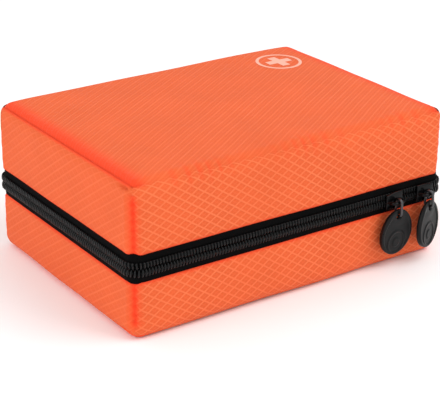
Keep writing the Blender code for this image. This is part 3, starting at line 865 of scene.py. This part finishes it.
def pinched(points, lean):
    """Two shallow dents where the stop was pressed onto the chain."""
    z = points[..., 2] - (ZIP_Z - 0.0019)
    dent = 0.00018 * bell(z, 0.0004)
    return points - lean * dent[..., None]


# ---- sliders, links and pull tabs -------------------------------------------------------------


def slider_plate(centre, half, narrow_side, dome):
    """A slider's plate: a round-edged slab that narrows towards one end and is domed on its face."""

    def shape(points, lean):
        t = np.clip((points[..., 0] - centre[0]) / half[0] * narrow_side, -1, 1)
        points[..., 2] = ZIP_Z + (points[..., 2] - ZIP_Z) * (1 - 0.20 * eased(t, -0.2, 1.0))
        across = (points[..., 2] - ZIP_Z) / half[2]
        lift = dome * np.clip(1 - 0.7 * t**2, 0, 1) * np.clip(1 - across**2, 0, 1)
        points[..., 1] -= lift * (lean[..., 1] < -0.5)
        return points

    centre, half = np.asarray(centre), np.asarray(half)
    return soft_box(centre - half, centre + half, 0.0005, (26, 9, 24), shape)


def slider_parts(centre_x, narrow_side):
    """Front plate, back plate, post, lower rail, and the arched bridge whose crown is the link's bar."""
    wall_y = -CASE_HALF[1]
    bar_y = JOINTS["left_link_swing"]["pos_m"][1]
    front = slider_plate((centre_x, wall_y - 0.0024, ZIP_Z), (0.0050, 0.0006, 0.0044), narrow_side, 0.0006)
    back = slider_plate((centre_x, wall_y + 0.0026, ZIP_Z), (0.0034, 0.0005, 0.0040), narrow_side, 0)
    post_low = (centre_x - 0.0015, wall_y - 0.0022, ZIP_Z - 0.00025)
    post_high = (centre_x + 0.0015, wall_y + 0.0025, ZIP_Z + 0.00025)
    post = soft_box(post_low, post_high, 0.0002)
    rail_z = ZIP_Z - 0.0044
    rail_low = (centre_x - 0.0042, wall_y - 0.0024, rail_z)
    rail_high = (centre_x + 0.0042, wall_y + 0.0003, rail_z + 0.0006)
    rail = soft_box(rail_low, rail_high, 0.0003)
    foot, crown, bend, foot_y = 0.0040, 0.0031, 0.0016, wall_y - SLIDER_FACE
    bends = [
        arc((side * (crown - bend), bar_y + bend), bend, start, start + 90, 7)
        for side, start in ((-1, 180), (1, 270))
    ]
    path = np.concatenate([[(-foot, foot_y)], *bends, [(foot, foot_y)]])
    path = np.stack([path[:, 0] + centre_x, path[:, 1], np.full(len(path), ZIP_Z)], 1)
    bridge = tube(path, BAR_R, 14)
    return gathered([front, back, post, rail, bridge])


def pull_axes(side):
    """A pull's bar and eye, and its axes: across, through the tab's face, and upwards along it."""
    bar = np.array(JOINTS[f"{side}_link_swing"]["pos_m"])
    eye = np.array(JOINTS[f"{side}_tab_turn"]["pos_m"])
    through = np.array(JOINTS[f"{side}_tab_turn"]["axis"])
    across = np.cross(through, (0, 0, 1))
    across /= np.linalg.norm(across)
    return bar, eye, across, through, np.cross(across, through)


def link_loop(side, top_r=0.0019, low_r=0.0022):
    """A closed wire round the bar above and through the tab's eye below."""
    bar, eye, across, _, _ = pull_axes(side)
    down = eye - bar
    reach = np.linalg.norm(down)
    down /= reach
    outward = np.cross(down, across)
    top = arc((0, 0), top_r, 0, 180, 20)
    low = arc((0, -(reach - low_r)), low_r, 180, 360, 22)
    flat = np.concatenate([top, low])
    path = bar + flat[:, :1] * outward - flat[:, 1:] * down
    return tube(path, LINK_WIRE_R, 14, True, across)


def egg(angle, length=0.0245, span=0.0197, narrowing=0.12, top=0.0035):
    """The tab's outline about its eye: (across, up). A sine arch slimmed towards its top."""
    height = (1 + np.cos(angle)) / 2
    across = span / 2 * np.sin(angle) * (1 - narrowing * height**1.5)
    return np.stack([across, top - length * (1 - height)], -1)


def level(points, centre, outline):
    """How far out a point lies from a centre: 0 there, 1 on the outline."""
    away, edge = points - centre, outline - centre
    turn, edge_turn = np.arctan2(away[..., 0], away[..., 1]), np.arctan2(edge[:, 0], edge[:, 1])
    order = np.argsort(edge_turn)
    reach = np.interp(turn, edge_turn[order], np.hypot(*edge[order].T), period=TAU)
    return np.hypot(away[..., 0], away[..., 1]) / reach


def tab_half_thickness(points, outline):
    """Half the tab's thickness: full at a raised rim, sunk inside it, with two raised ovals."""
    body = np.array([0, -0.0118])
    oval_x, oval_y, oval_drop = 0.0052, 0.0064, 0.0142
    sunk_depth, raised_height, corner_power = 0.00046, 0.00040, 2.6
    out = level(points, body, outline)
    from_eye = np.hypot(points[..., 0], points[..., 1])
    body_share = eased(from_eye, 0.0030, 0.0062)
    full = 0.0010 + 0.0003 * body_share
    sunk = (1 - eased(out, 0.80, 0.87)) * body_share
    oval = np.hypot(points[..., 0] / oval_x, (points[..., 1] + oval_drop) / oval_y)
    outer_oval = eased(oval, 0.80, 0.88) * (1 - eased(oval, 1.0, 1.08))
    inner_oval = 1 - eased(oval, 0.36, 0.44)
    raised = np.maximum(outer_oval, inner_oval)
    rounding = np.clip((out - 0.90) / 0.10, 0, 1)
    half = full - sunk_depth * sunk + raised_height * raised * sunk
    return half * (1 - rounding**corner_power) ** (1 / corner_power)


def tab_surface(side):
    """A tab as one closed grid: rows run from the eye to the rim on the face, and back behind."""
    _, eye, across, through, upward = pull_axes(side)
    angle = np.linspace(0, TAU, 168, endpoint=False)
    outline = egg(angle)
    hole_r, rim_crowding, hole_easing = 0.0015, 1.7, 0.72
    hole = hole_r * np.stack([np.sin(angle), np.cos(angle)], -1)
    share = (1 - (1 - np.linspace(0, 1, 64)) ** rim_crowding)[:, None, None]
    flat = hole + (outline - hole) * share
    half = tab_half_thickness(flat, outline)
    half[0] *= hole_easing
    flat = np.concatenate([flat, flat[::-1]])
    half = np.concatenate([-half, half[::-1]])
    points = eye + flat[..., :1] * across + half[..., None] * through + flat[..., 1:] * upward
    return points.reshape(-1, 3), grid_faces(*half.shape, True, True)


class KIT_OT_pulls(Operator):
    """Make both sliders with their wire links and rubber tabs"""

    bl_idname = "kit.pulls"
    bl_label = "Sliders and pulls"

    def execute(self, context):
        settings = context.scene.kit_zip
        rgb = tuple(settings.metal)
        metal = moulded("slider_enamel", rgb, 0.22, 500, 0.00001, 0.2, Specular_IOR_Level=0.15)
        wire = ground_steel("link_plating", tuple(settings.wire), 0.34, (60, 60, 60))
        rgb = tuple(settings.rubber)
        rubber = moulded("tab_rubber_grain", rgb, 0.34, 1400, 0.00002, 0.14, Specular_IOR_Level=0.18)
        for side, narrow in (("left", -1), ("right", 1)):
            centre_x = float(np.mean([corner[0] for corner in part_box(f"{side}_slider")]))
            slider = slider_parts(centre_x, narrow)
            stand_in(f"{side}_slider_body", slider, metal, f"{side}_slider", 50)
            stand_in(f"{side}_wire", link_loop(side), wire, f"{side}_link")
            stand_in(f"{side}_tab", tab_surface(side), rubber, f"{side}_pull_tab")
        return {"FINISHED"}


# ---- hinge fabric and linings -----------------------------------------------------------------


def keep_node(node, look, bevel):
    """Give a CAD node its finish, with its edges eased by modifiers."""
    item = frame["nodes"][node]
    for slot in item.material_slots:
        slot.material = look
    if not item.material_slots:
        item.data.materials.append(look)
    weld = item.modifiers.new("weld", "WELD")
    weld.merge_threshold = 0.00001
    ease = item.modifiers.new("ease", "BEVEL")
    ease.width = bevel
    ease.segments = 2
    ease.limit_method = "ANGLE"
    ease.angle_limit = math.radians(40)


class KIT_OT_spine(Operator):
    """Make the fabric spine at the lid's hinge: one strip across both halves, with a shallow crease where
    they meet
    """

    bl_idname = "kit.spine"
    bl_label = "Hinge fabric"

    def execute(self, context):
        low, high = corners("base_spine_strip")[0], corners("lid_spine_strip")[1]
        end_tuck, rim_tuck, thickness = 0.0006, 0.0009, 0.0007
        x = np.linspace(low[0] - end_tuck, high[0] + end_tuck, 120)
        z = np.linspace(low[2] - rim_tuck, high[2] + rim_tuck, 34)
        z_grid, x_grid = np.meshgrid(z, x, indexing="ij")
        bow = np.sin(math.pi * np.clip((z_grid - low[2]) / (high[2] - low[2]), 0, 1))
        fold = bell(z_grid - ZIP_Z, 0.0006)
        ripple = 0.00008 * np.sin(x_grid * 410) * bow
        outer = high[1] + 0.0004 * bow - 0.0003 * fold + ripple
        face, back = (np.stack([x_grid, y, z_grid], -1) for y in (outer, outer - thickness))
        wrap = np.concatenate([face, back[::-1]])
        faces = grid_faces(2 * len(z), len(x), True)
        # Painted shade in the crease colour along the fold and at the strip's tucked edges.
        crease = 0.7 * fold + 0.5 * (1 - bow)
        values = {"crease": np.concatenate([crease, crease[::-1]]).ravel()}
        look = ripstop("ripstop_spine", 0.8, 0.6)
        cloth = wrap[..., ::2].reshape(-1, 2)
        strip = make_piece("spine_fabric", wrap.reshape(-1, 3), faces, look, cloth, values)
        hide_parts("base_spine_strip", "lid_spine_strip")
        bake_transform(strip)
        return {"FINISHED"}


def lining_skin(node, open_z):
    """A lining's face on the padding: four walls and a floor.

    Between the rim, where it is bound, and its far edges the cloth wanders outwards by slow sine waves.
    """
    low, high = corners(node)
    rim = high[2] if open_z > 0 else low[2]
    sides = ("front", "back", "left", "right", "bottom" if open_z > 0 else "top")
    parts = []
    radii, counts = (0.002, 0.002, 0.0016), (110, 84, 34)
    for _, _, rounded, lean in box_sides(low, high, radii, counts, sides, 0.5, open_z):
        x, y, z = np.moveaxis(rounded, -1, 0)
        held = 1 - bell(z - rim, 0.006)
        waves = 1.6 + np.sin(88 * x + 2 * np.sin(61 * y)) + 0.6 * np.sin(150 * y + 70 * z + 1.1)
        points = rounded + lean * (0.00016 * waves * held)[..., None]
        parts.append((points, grid_faces(*x.shape)))
    return gathered(parts)


def seam_tape(node, corner=0.0012, step=0.0006, stitch=0.0024):
    """A bound seam: a flat oval carried round the inside of a rim, pinched a little at each stitch."""
    low, high = corners(node)
    half_height, half_thick = (high[2] - low[2]) / 2, 0.0004
    x, y = high[:2] - half_thick - corner
    turns = [arc(centre, corner, start, start + 90, 7) for centre, start in (((x, y), 0), ((-x, y), 90))]
    places = np.concatenate([*turns, -turns[0], -turns[1], turns[0][:1]])
    run = np.concatenate([[0], np.cumsum(np.linalg.norm(np.diff(places, axis=0), axis=1))])
    even = np.arange(0, run[-1] - step / 2, step)
    path = np.column_stack([along_line(run, places, even), np.full(len(even), (low[2] + high[2]) / 2)])
    pinch = 1 - 0.07 * stitches(even, stitch) ** 4
    return tube(path, half_thick * pinch, 12, True, squash=half_height / half_thick)


class KIT_OT_linings(Operator):
    """Make the cloth linings, the bound seams and the divider"""

    bl_idname = "kit.linings"
    bl_label = "Linings"

    def execute(self, context):
        lining = woven("lining_cloth", (0.60, 0.105, 0.040), 0.0006, 0.78)
        tape = woven("binding_grosgrain", (0.016, 0.017, 0.020), 0.0005, 0.85, depth=0.0002)
        for half, open_z in (("base", 1), ("lid", -1)):
            node = f"{half}_lining"
            skin = make_piece(f"{node}_cloth", *lining_skin(node, open_z), lining)
            wall = skin.modifiers.new("wall", "SOLIDIFY")
            wall.thickness = 0.0005
            wall.offset = -1
            settle(skin, node)
            node = f"{half}_binding"
            stand_in(f"{half}_seam_tape", seam_tape(node), tape, node)
        board = soft_box(*corners("base_divider"), 0.0012, (90, 7, 24), board_edges)
        cloth = woven("divider_cloth", (0.045, 0.048, 0.056), 0.0006, 0.85)
        stand_in("divider_board", board, cloth, "base_divider")
        return {"FINISHED"}


def board_edges(points, lean):
    """The board's cloth: a groove under its bound upper edge, with stitch dimples."""
    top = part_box("base_divider")[1][2]
    under = top - points[..., 2]
    stitch = stitches(points[..., 0], 0.0028)
    groove = bell(under - 0.0042, 0.0006)
    points -= lean * (0.00022 * groove + 0.0002 * groove * stitch**3)[..., None]
    return points



def bandage(node, pitch, loose):
    """A rolled bandage: spiral ridges on its ends, and its loose end lying on the outside."""
    low, high = corners(node)
    centre_y, centre_z = (low[1:] + high[1:]) / 2
    radius = (high[1] - low[1]) / 2
    reach = np.linspace(0.00001, 1, 46) ** 0.9
    along = np.linspace(0.0009, (high[0] - low[0]) - 0.0009, 24)
    depth = np.concatenate([np.full(46, 0.0009), along, np.full(46, high[0] - low[0] - 0.0009)])
    share = np.concatenate([reach, np.ones(24), reach[::-1]])
    end = np.concatenate([-np.ones(46), np.zeros(24), np.ones(46)])
    angle = np.linspace(0, TAU, 112, endpoint=False)
    turn, share_grid = np.meshgrid(angle, share)
    wound = (share_grid * radius / pitch - turn / TAU) % 1
    ridge = np.sin(math.pi * wound) ** 0.6
    outer = radius - loose * (1 - turn / TAU) * share_grid**8
    y = centre_y + share_grid * outer * np.cos(turn)
    z = centre_z + share_grid * outer * np.sin(turn)
    face = end[:, None] * 0.0008 * ridge * (share_grid < 0.985)
    x = low[0] + depth[:, None] + face
    return np.stack([x, y, z], -1).reshape(-1, 3), grid_faces(len(share), len(angle), False, True)


def crepe(name, rgb, pitch):
    """Loose elastic cloth: ribs round the roll and fine crossing threads."""
    look = Look(name, rgb, 0.92, Sheen_Weight=0.3)
    place = look.place()
    x = look.axes(place)[0]
    waver = look.sum("MULTIPLY", look.noise(place, 500, 2), 0.0006)
    ribs = look.sum("SINE", look.sum("MULTIPLY", look.sum("ADD", x, waver), TAU / pitch))
    fine = look.noise(place, 2600, 2)
    height = look.sum("ADD", look.ramp(ribs, -1, 1), fine)
    # Painted shade: the cloth is darker between the ribs.
    shade = look.mix(look.ramp(ribs, -1, 0.4), tuple(channel * 0.72 for channel in rgb), rgb)
    return look.done(shade, None, height, 0.0003)


def pouch(node, border, fullness=1.0, wrinkles=5, counts=(70, 54), crimp=0.00012):
    """A sealed pack: two films that swell over the contents and meet in a flat crimped border.

    The height is a flattened dome inside the border; folds run in from the border and fade out.
    """
    low, high = corners(node)
    u, v = (np.linspace(-1, 1, count) for count in counts)
    v_grid, u_grid = np.meshgrid(v, u, indexing="ij")
    size_xy = high[:2] - low[:2]
    inner_u = np.clip(abs(u_grid) / (1 - 2 * border / size_xy[0]), 0, 1)
    inner_v = np.clip(abs(v_grid) / (1 - 2 * border / size_xy[1]), 0, 1)
    dome = ((1 - inner_u**5) * (1 - inner_v**5)) ** 0.55 * fullness
    folds = np.sin(wrinkles * 3 * v_grid + 1.3) * inner_u**3
    folds = folds + np.sin(wrinkles * 4 * u_grid + 0.4) * inner_v**3
    dome = np.clip(dome * (1 - 0.10 * abs(folds)), 0, 1)
    edge = (inner_u >= 1) | (inner_v >= 1)
    teeth = crimp * stitches(u_grid * size_xy[0] + v_grid * size_xy[1], 0.0016) * edge
    rim = (abs(u_grid) < 1) & (abs(v_grid) < 1)
    half = (high[2] - low[2]) / 2
    x = low[0] + size_xy[0] * (u_grid + 1) / 2
    y = low[1] + size_xy[1] * (v_grid + 1) / 2
    parts = []
    for sign in (1, -1):
        z = (low[2] + high[2]) / 2 + sign * (half * dome + 0.00008 * rim) + teeth * rim
        parts.append((np.stack([x, y, z], -1), grid_faces(*z.shape)))
    return gathered(parts)


def tape_reel(node, wraps):
    """A roll of sticking tape: a turned tube whose flat ends show fine wraps."""
    low, high = corners(node)
    core_low, core_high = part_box(node.replace("_roll", "_core"))
    outer, inner = (high[1] - low[1]) / 2, (core_high[1] - core_low[1]) / 2 + 0.0003
    radius = np.linspace(inner, outer, wraps * 4)
    ridge = 0.00012 * np.sin(np.linspace(0, wraps * TAU, wraps * 4)) ** 2
    left = np.stack([radius, low[0] + 0.0002 - ridge], 1)
    right = np.stack([radius[::-1], high[0] - 0.0002 + ridge[::-1]], 1)
    profile = np.concatenate([left, right, left[:1]])
    centre = (0, *(low[1:] + high[1:]) / 2)
    return turned(profile, 96, centre)


def reel_core(node):
    """The tape's board core: a tube with eased edges."""
    low, high = corners(node)
    outer, inner, ease = (high[1] - low[1]) / 2, (high[1] - low[1]) / 2 - 0.0014, 0.0003
    radius = np.array([inner, inner + ease, outer - ease, outer])
    left = np.stack([radius, low[0] + ease * np.array([1, 0, 0, 1])], 1)
    right = np.stack([radius[::-1], high[0] - ease * np.array([1, 0, 0, 1])], 1)
    profile = np.concatenate([left, right, left[:1]])
    return turned(profile, 72, (0, *(low[1:] + high[1:]) / 2))


def carton_box(points, lean):
    """The carton: its lid flap's line round the front, and faintly bowed panels."""
    low, high = corners("plaster_carton")
    middle = (points - (low + high) / 2) / ((high - low) / 2)
    bow = 0.00035 * (1 - middle[..., 0] ** 2) * (1 - middle[..., 1] ** 2) * (abs(lean[..., 2]) > 0.9)
    slot = bell(points[..., 0] - (high[0] - 0.0075), 0.0003)
    return points - lean * (bow + 0.00025 * slot)[..., None]


class KIT_OT_rolls(Operator):
    """Make the bandage rolls and the tape reels behind the divider"""

    bl_idname = "kit.rolls"
    bl_label = "Bandages and tapes"

    def execute(self, context):
        crepe_look = crepe("crepe_cloth", (0.74, 0.60, 0.44), 0.0012)
        gauze_look = crepe("gauze_cloth", (0.86, 0.85, 0.80), 0.0008)
        for node, pitch, loose, look in (
            ("crepe_bandage_roll", 0.0015, 0.0011, crepe_look),
            ("gauze_bandage_roll", 0.0010, 0.0006, gauze_look),
        ):
            stand_in(f"{node}_cloth", bandage(node, pitch, loose), look, node, 60)
        tape = woven("sticking_tape", (0.80, 0.62, 0.45), 0.0004, 0.7)
        core = film("core_board", (0.62, 0.55, 0.42), 0.8, 0.0001, 200)
        for width in ("wide", "narrow"):
            node = f"{width}_tape_roll"
            stand_in(f"{width}_reel", tape_reel(node, 9), tape, node, 50)
            node = f"{width}_tape_core"
            stand_in(f"{width}_reel_core", reel_core(node), core, node, 40)
        return {"FINISHED"}


class KIT_OT_packs(Operator):
    """Make the flat packs, the sachets and the carton"""

    bl_idname = "kit.packs"
    bl_label = "Packs"

    def execute(self, context):
        blue, red, green = (0.06, 0.22, 0.52), (0.62, 0.05, 0.04), (0.05, 0.34, 0.20)
        paper = banded("gauze_pack_paper", (0.86, 0.87, 0.88), blue, -0.078, -0.066)
        packs = [(f"{place}_gauze_pack", paper, 0.005, 1.0, 4) for place in ("lower", "middle", "upper")]
        wipe = film("wipe_foil", (0.62, 0.72, 0.80), 0.24, 0.0005, 120, 0.35)
        packs += [(f"{place}_wipe_sachet", wipe, 0.004, 0.9, 3) for place in ("lower", "middle", "upper")]
        glove = film("glove_film", (0.42, 0.56, 0.68), 0.3, 0.0007, 60)
        dressing = banded("dressing_paper", (0.84, 0.85, 0.82), green, 0.028, 0.034)
        foil = film("foil_film", (0.66, 0.67, 0.69), 0.2, 0.0010, 90, 0.75)
        triangular = film("triangular_film", (0.80, 0.79, 0.74), 0.34, 0.0006, 70)
        shield = film("shield_film", (0.62, 0.10, 0.05), 0.36, 0.0006, 80)
        packs += [
            ("glove_pack", glove, 0.004, 1.0, 6),
            ("wound_dressing_pack", dressing, 0.004, 1.0, 3),
            ("foil_blanket_pack", foil, 0.004, 1.0, 8),
            ("triangular_bandage_pack", triangular, 0.004, 1.0, 5),
            ("face_shield_pack", shield, 0.003, 1.0, 5),
        ]
        for node, look, border, fullness, wrinkles in packs:
            stand_in(f"{node}_film", pouch(node, border, fullness, wrinkles), look, node)
        box = soft_box(*corners("plaster_carton"), 0.0005, (60, 40, 16), carton_box)
        board = banded("carton_board", (0.82, 0.83, 0.85), red, -0.030, -0.014, 0.4)
        stand_in("plaster_box", box, board, "plaster_carton", 50)
        leaflet = soft_box(*corners("guide_leaflet"), 0.0003, (80, 40, 5), folded_sheet)
        sheet = film("leaflet_paper", (0.88, 0.87, 0.84), 0.6, 0.0001, 30)
        stand_in("leaflet_sheet", leaflet, sheet, "guide_leaflet", 40)
        return {"FINISHED"}


def folded_sheet(points, lean):
    """The leaflet's layers: grooves along its edges between the folded leaves."""
    low, high = corners("guide_leaflet")
    t = (points[..., 2] - low[2]) / (high[2] - low[2])
    groove = 0.00012 * np.cos(TAU * 2 * t) * (abs(lean[..., 2]) < 0.5)
    return points - lean * groove[..., None]


def safety_pin(node):
    """A safety pin: one wire bent into a coil at its foot, two long sides, and a clasp over the tip."""
    low, high = corners(node)
    centre_x, z = (low[0] + high[0]) / 2, (low[2] + high[2]) / 2
    half = (high[0] - low[0]) / 2 - 0.0006
    foot, head = low[1] + half, high[1] - 0.003
    sides = np.concatenate(
        [
            [(-half, head)],
            [(-half, foot)],
            arc((0, foot), half, 180, 360, 14),
            [(half * 0.9, head - 0.002)],
        ]
    )
    path = np.stack([centre_x + sides[:, 0], sides[:, 1], np.full(len(sides), z)], 1)
    wire = tube(path, 0.0004, 8)
    eye = arc((0, foot), half * 0.45, 0, 360, 17)[:-1]
    eye = np.stack([centre_x + eye[:, 0], eye[:, 1], np.full(len(eye), z)], 1)
    coil = tube(eye, 0.0004, 8, True)
    wide, thick = half + 0.0005, 0.0007
    clasp_low = (centre_x - wide, head - 0.0028, z - thick)
    clasp = soft_box(clasp_low, (centre_x + wide, high[1], z + thick), 0.0006)
    return gathered([wire, coil, clasp])


class KIT_OT_tools(Operator):
    """Make the scissors, the tweezers and the safety pins"""

    bl_idname = "kit.tools"
    bl_label = "Tools"

    def execute(self, context):
        steel = ground_steel("scissor_ground_steel", (0.56, 0.57, 0.58), 0.24)
        for node in ("lower_scissor_blade", "upper_scissor_blade"):
            keep_node(node, steel, 0.00025)
        rivet = ground_steel("rivet_steel", (0.50, 0.50, 0.51), 0.3, (60, 60, 60))
        keep_node("scissor_rivet", rivet, 0.0002)
        keep_node("tweezers", ground_steel("tweezer_steel", (0.52, 0.53, 0.54), 0.3, (90, 4, 90)), 0.0002)
        grip = moulded("grip_plastic", (0.62, 0.060, 0.020), 0.42, 800, 0.00003, 0.08)
        for half, sign in (("lower", 1), ("upper", -1)):
            node = f"{half}_scissor_handle"
            stand_in(f"{half}_finger_loop", finger_loop(node, sign), grip, node)
        pin = ground_steel("pin_plating", (0.62, 0.62, 0.60), 0.18, (60, 60, 60))
        for side in ("left", "right"):
            node = f"{side}_safety_pin"
            stand_in(f"{node}_wire", safety_pin(node), pin, node)
        return {"FINISHED"}


def finger_loop(node, sign):
    """A moulded finger loop: a flattened bar round an oval, with a neck that takes the tang."""
    low, high = corners(node)
    pivot = np.array(JOINTS["scissor_pivot"]["pos_m"])
    z = (low[2] + high[2]) / 2
    angle = np.linspace(0, TAU, 64, endpoint=False)
    centre = pivot[:2] + (0.042, sign * 0.011)
    path = np.stack([0.01145 * np.cos(angle), 0.00775 * np.sin(angle) * sign], 1) + centre
    path = np.stack([path[:, 0], path[:, 1], np.full(64, z)], 1)
    ring = tube(path, 0.00235, 14, True, squash=0.70)
    neck = [(0.0252, 0.0068), (0.0275, 0.0074), (0.0305, 0.0086), (0.0325, 0.0092)]
    neck = [(pivot[0] + x, pivot[1] + sign * y, z) for x, y in neck]
    stem = tube(neck, [0.0017, 0.0021, 0.0023, 0.0024], 12, squash=0.68)
    return gathered([ring, stem])


# ---- the lid's net pocket ---------------------------------------------------------------------


def net_threads(low, high, cell, radius, z):
    """Knitted net: threads that zigzag along Y and touch their neighbours at every turn."""
    columns = np.arange(low[0] + cell / 2, high[0] - cell / 4, cell / 2)
    steps = np.arange(low[1], high[1], cell / 4)
    phase = np.arange(len(columns))[:, None] * 2
    swing = np.array([-1, -1, 1, 1])[(np.arange(len(steps))[None, :] + phase) % 4]
    x = columns[:, None] + swing * (cell / 4 - radius * 0.6)
    y = np.broadcast_to(steps, x.shape)
    sag = 0.0009 * np.cos((x / high[0]) * math.pi / 2) * np.sin(math.pi * (y - low[1]) / (high[1] - low[1]))
    middle = np.stack([x, y, z - sag], -1)
    ahead = np.gradient(middle, axis=1)
    ahead /= np.linalg.norm(ahead, axis=-1, keepdims=True)
    side = np.cross(ahead, (0, 0, 1))
    parts = []
    for turn in np.linspace(0, TAU, 4, endpoint=False):
        parts.append(middle + radius * (math.cos(turn) * side + math.sin(turn) * np.array((0, 0, 1))))
    rings = np.stack(parts, 2)
    one = grid_faces(len(steps), 4, False, True)
    starts = np.arange(len(columns))[:, None, None] * (len(steps) * 4)
    return rings.reshape(-1, 3), (one[None] + starts).reshape(-1, 4)


class KIT_OT_net(Operator):
    """Make the lid's net pocket and its elastic edge"""

    bl_idname = "kit.net"
    bl_label = "Net pocket"

    def execute(self, context):
        low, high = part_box("net_pocket")
        middle = (low[2] + high[2]) / 2
        threads = net_threads(low, high, 0.0036, 0.00028, middle)
        bar_ends = [((x, low[1], middle), (x, high[1], middle)) for x in (low[0], high[0])]
        bar_ends.append(((low[0], high[1], middle), (high[0], high[1], middle)))
        frame_bars = [tube(np.linspace(*ends, 3), 0.0008, 8, squash=0.6) for ends in bar_ends]
        yarn = woven("net_yarn", (0.030, 0.031, 0.034), 0.0002, 0.8)
        net = gathered([threads, *frame_bars])
        net = stand_in("net_yarns", net, yarn, "net_pocket", weld=0.000001)
        elastic = soft_box(*corners("net_pocket_elastic"), 0.0006, (150, 9, 7), gathers)
        look = woven("elastic_cloth", (0.020, 0.021, 0.024), 0.0005, 0.7, depth=0.0002)
        stand_in("elastic_edge", elastic, look, "net_pocket_elastic")
        return {"FINISHED"}


def gathers(points, lean):
    """Small even gathers along the elastic."""
    wave = 0.00016 * (1 + np.sin(TAU * points[..., 0] / 0.0032))
    return points - lean * wave[..., None] * (1, 0.4, 1)


# ---- floor, light and camera ------------------------------------------------------------------


def area_light(name, place, target, side, power):
    """A square soft light that faces a point."""
    data = bpy.data.lights.new(name, "AREA")
    data.shape = "SQUARE"
    data.size = side
    data.energy = power
    light = bpy.data.objects.new(name, data)
    bpy.context.scene.collection.objects.link(light)
    light.location = place
    aim = np.asarray(target, float) - np.asarray(place, float)
    light.rotation_euler = Vector(aim).to_track_quat("-Z", "Y").to_euler()


class KIT_OT_stage(Operator):
    """Make the pale floor, the soft lights and the camera"""

    bl_idname = "kit.stage"
    bl_label = "Stage"

    def execute(self, context):
        settings = context.scene.kit_stage
        scene = context.scene
        floor_look = Look("floor_paint", tuple(settings.floor), 0.9)
        across = np.linspace(-FLOOR_HALF, FLOOR_HALF, 9)
        x, y = np.meshgrid(across, across, indexing="ij")
        points = np.stack([x, y, np.zeros_like(x)], -1)
        floor = make_piece("floor", points, grid_faces(*x.shape), floor_look.done())
        world = scene.world or bpy.data.worlds.new("daylight")
        scene.world = world
        world.use_nodes = True
        world.node_tree.nodes["Background"].inputs[0].default_value = (1, 1, 1, 1)
        world.node_tree.nodes["Background"].inputs[1].default_value = settings.daylight
        area_light("key", (0.45, -0.60, 0.95), (0.02, 0, 0.04), 0.7, settings.key)
        area_light("fill", (-1.1, -0.1, 0.55), (0, 0, 0.04), 0.8, settings.key * 0.8)
        scene.view_settings.view_transform = "Standard"
        data = bpy.data.cameras.new("camera")
        data.sensor_width = 36
        data.lens = 118.6
        data.clip_start = 0.01
        camera = bpy.data.objects.new("camera", data)
        scene.collection.objects.link(camera)
        azimuth, elevation = settings.azimuth, settings.elevation
        right = np.array([math.cos(azimuth), math.sin(azimuth), 0])
        level = np.array([math.sin(azimuth), -math.cos(azimuth), 0]) * math.cos(elevation)
        backward = level + (0, 0, math.sin(elevation))
        upward = np.cross(backward, right)
        distance, lowered, roll = 0.7168, 0.0117, math.radians(0.3)
        place = np.array([0, 0, TOP_Z / 2]) + backward * distance - upward * lowered
        facing = Matrix(np.stack([right, upward, backward], 1).tolist()).to_4x4()
        rolled = facing @ Matrix.Rotation(roll, 4, "Z")
        camera.matrix_world = Matrix.Translation(place.tolist()) @ rolled
        scene.camera = camera
        return {"FINISHED"}


class KIT_PT_panel(Panel):
    bl_idname = "KIT_PT_panel"
    bl_label = "Soft first aid kit"
    bl_space_type = "VIEW_3D"
    bl_region_type = "UI"
    bl_category = "Aid Kit"

    def draw(self, context):
        for name in SETTINGS:
            settings = getattr(context.scene, name)
            box = self.layout.box()
            for key in settings.__annotations__:
                box.prop(settings, key)
        for operator in OPERATORS:
            self.layout.operator(operator.bl_idname)


SETTINGS = {
    "kit_fabric": FabricSettings,
    "kit_zip": ZipSettings,
    "kit_print": PrintSettings,
    "kit_stage": StageSettings,
}
OPERATORS = (
    KIT_OT_stage,
    KIT_OT_case,
    KIT_OT_print,
    KIT_OT_zip,
    KIT_OT_pulls,
    KIT_OT_spine,
    KIT_OT_linings,
    KIT_OT_rolls,
    KIT_OT_packs,
    KIT_OT_tools,
    KIT_OT_net,
)


def register():
    """Add the classes and their settings to Blender."""
    for made in (*SETTINGS.values(), *OPERATORS, KIT_PT_panel):
        bpy.utils.register_class(made)
    for name, group in SETTINGS.items():
        setattr(bpy.types.Scene, name, PointerProperty(type=group))


def unregister():
    """Take the classes and their settings away again."""
    for name in SETTINGS:
        delattr(bpy.types.Scene, name)
    for made in reversed((*SETTINGS.values(), *OPERATORS, KIT_PT_panel)):
        bpy.utils.unregister_class(made)


def main():
    register()
    for operator in OPERATORS:
        group, name = operator.bl_idname.split(".")
        getattr(getattr(bpy.ops, group), name)()
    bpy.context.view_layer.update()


if __name__ == "__main__":
    main()
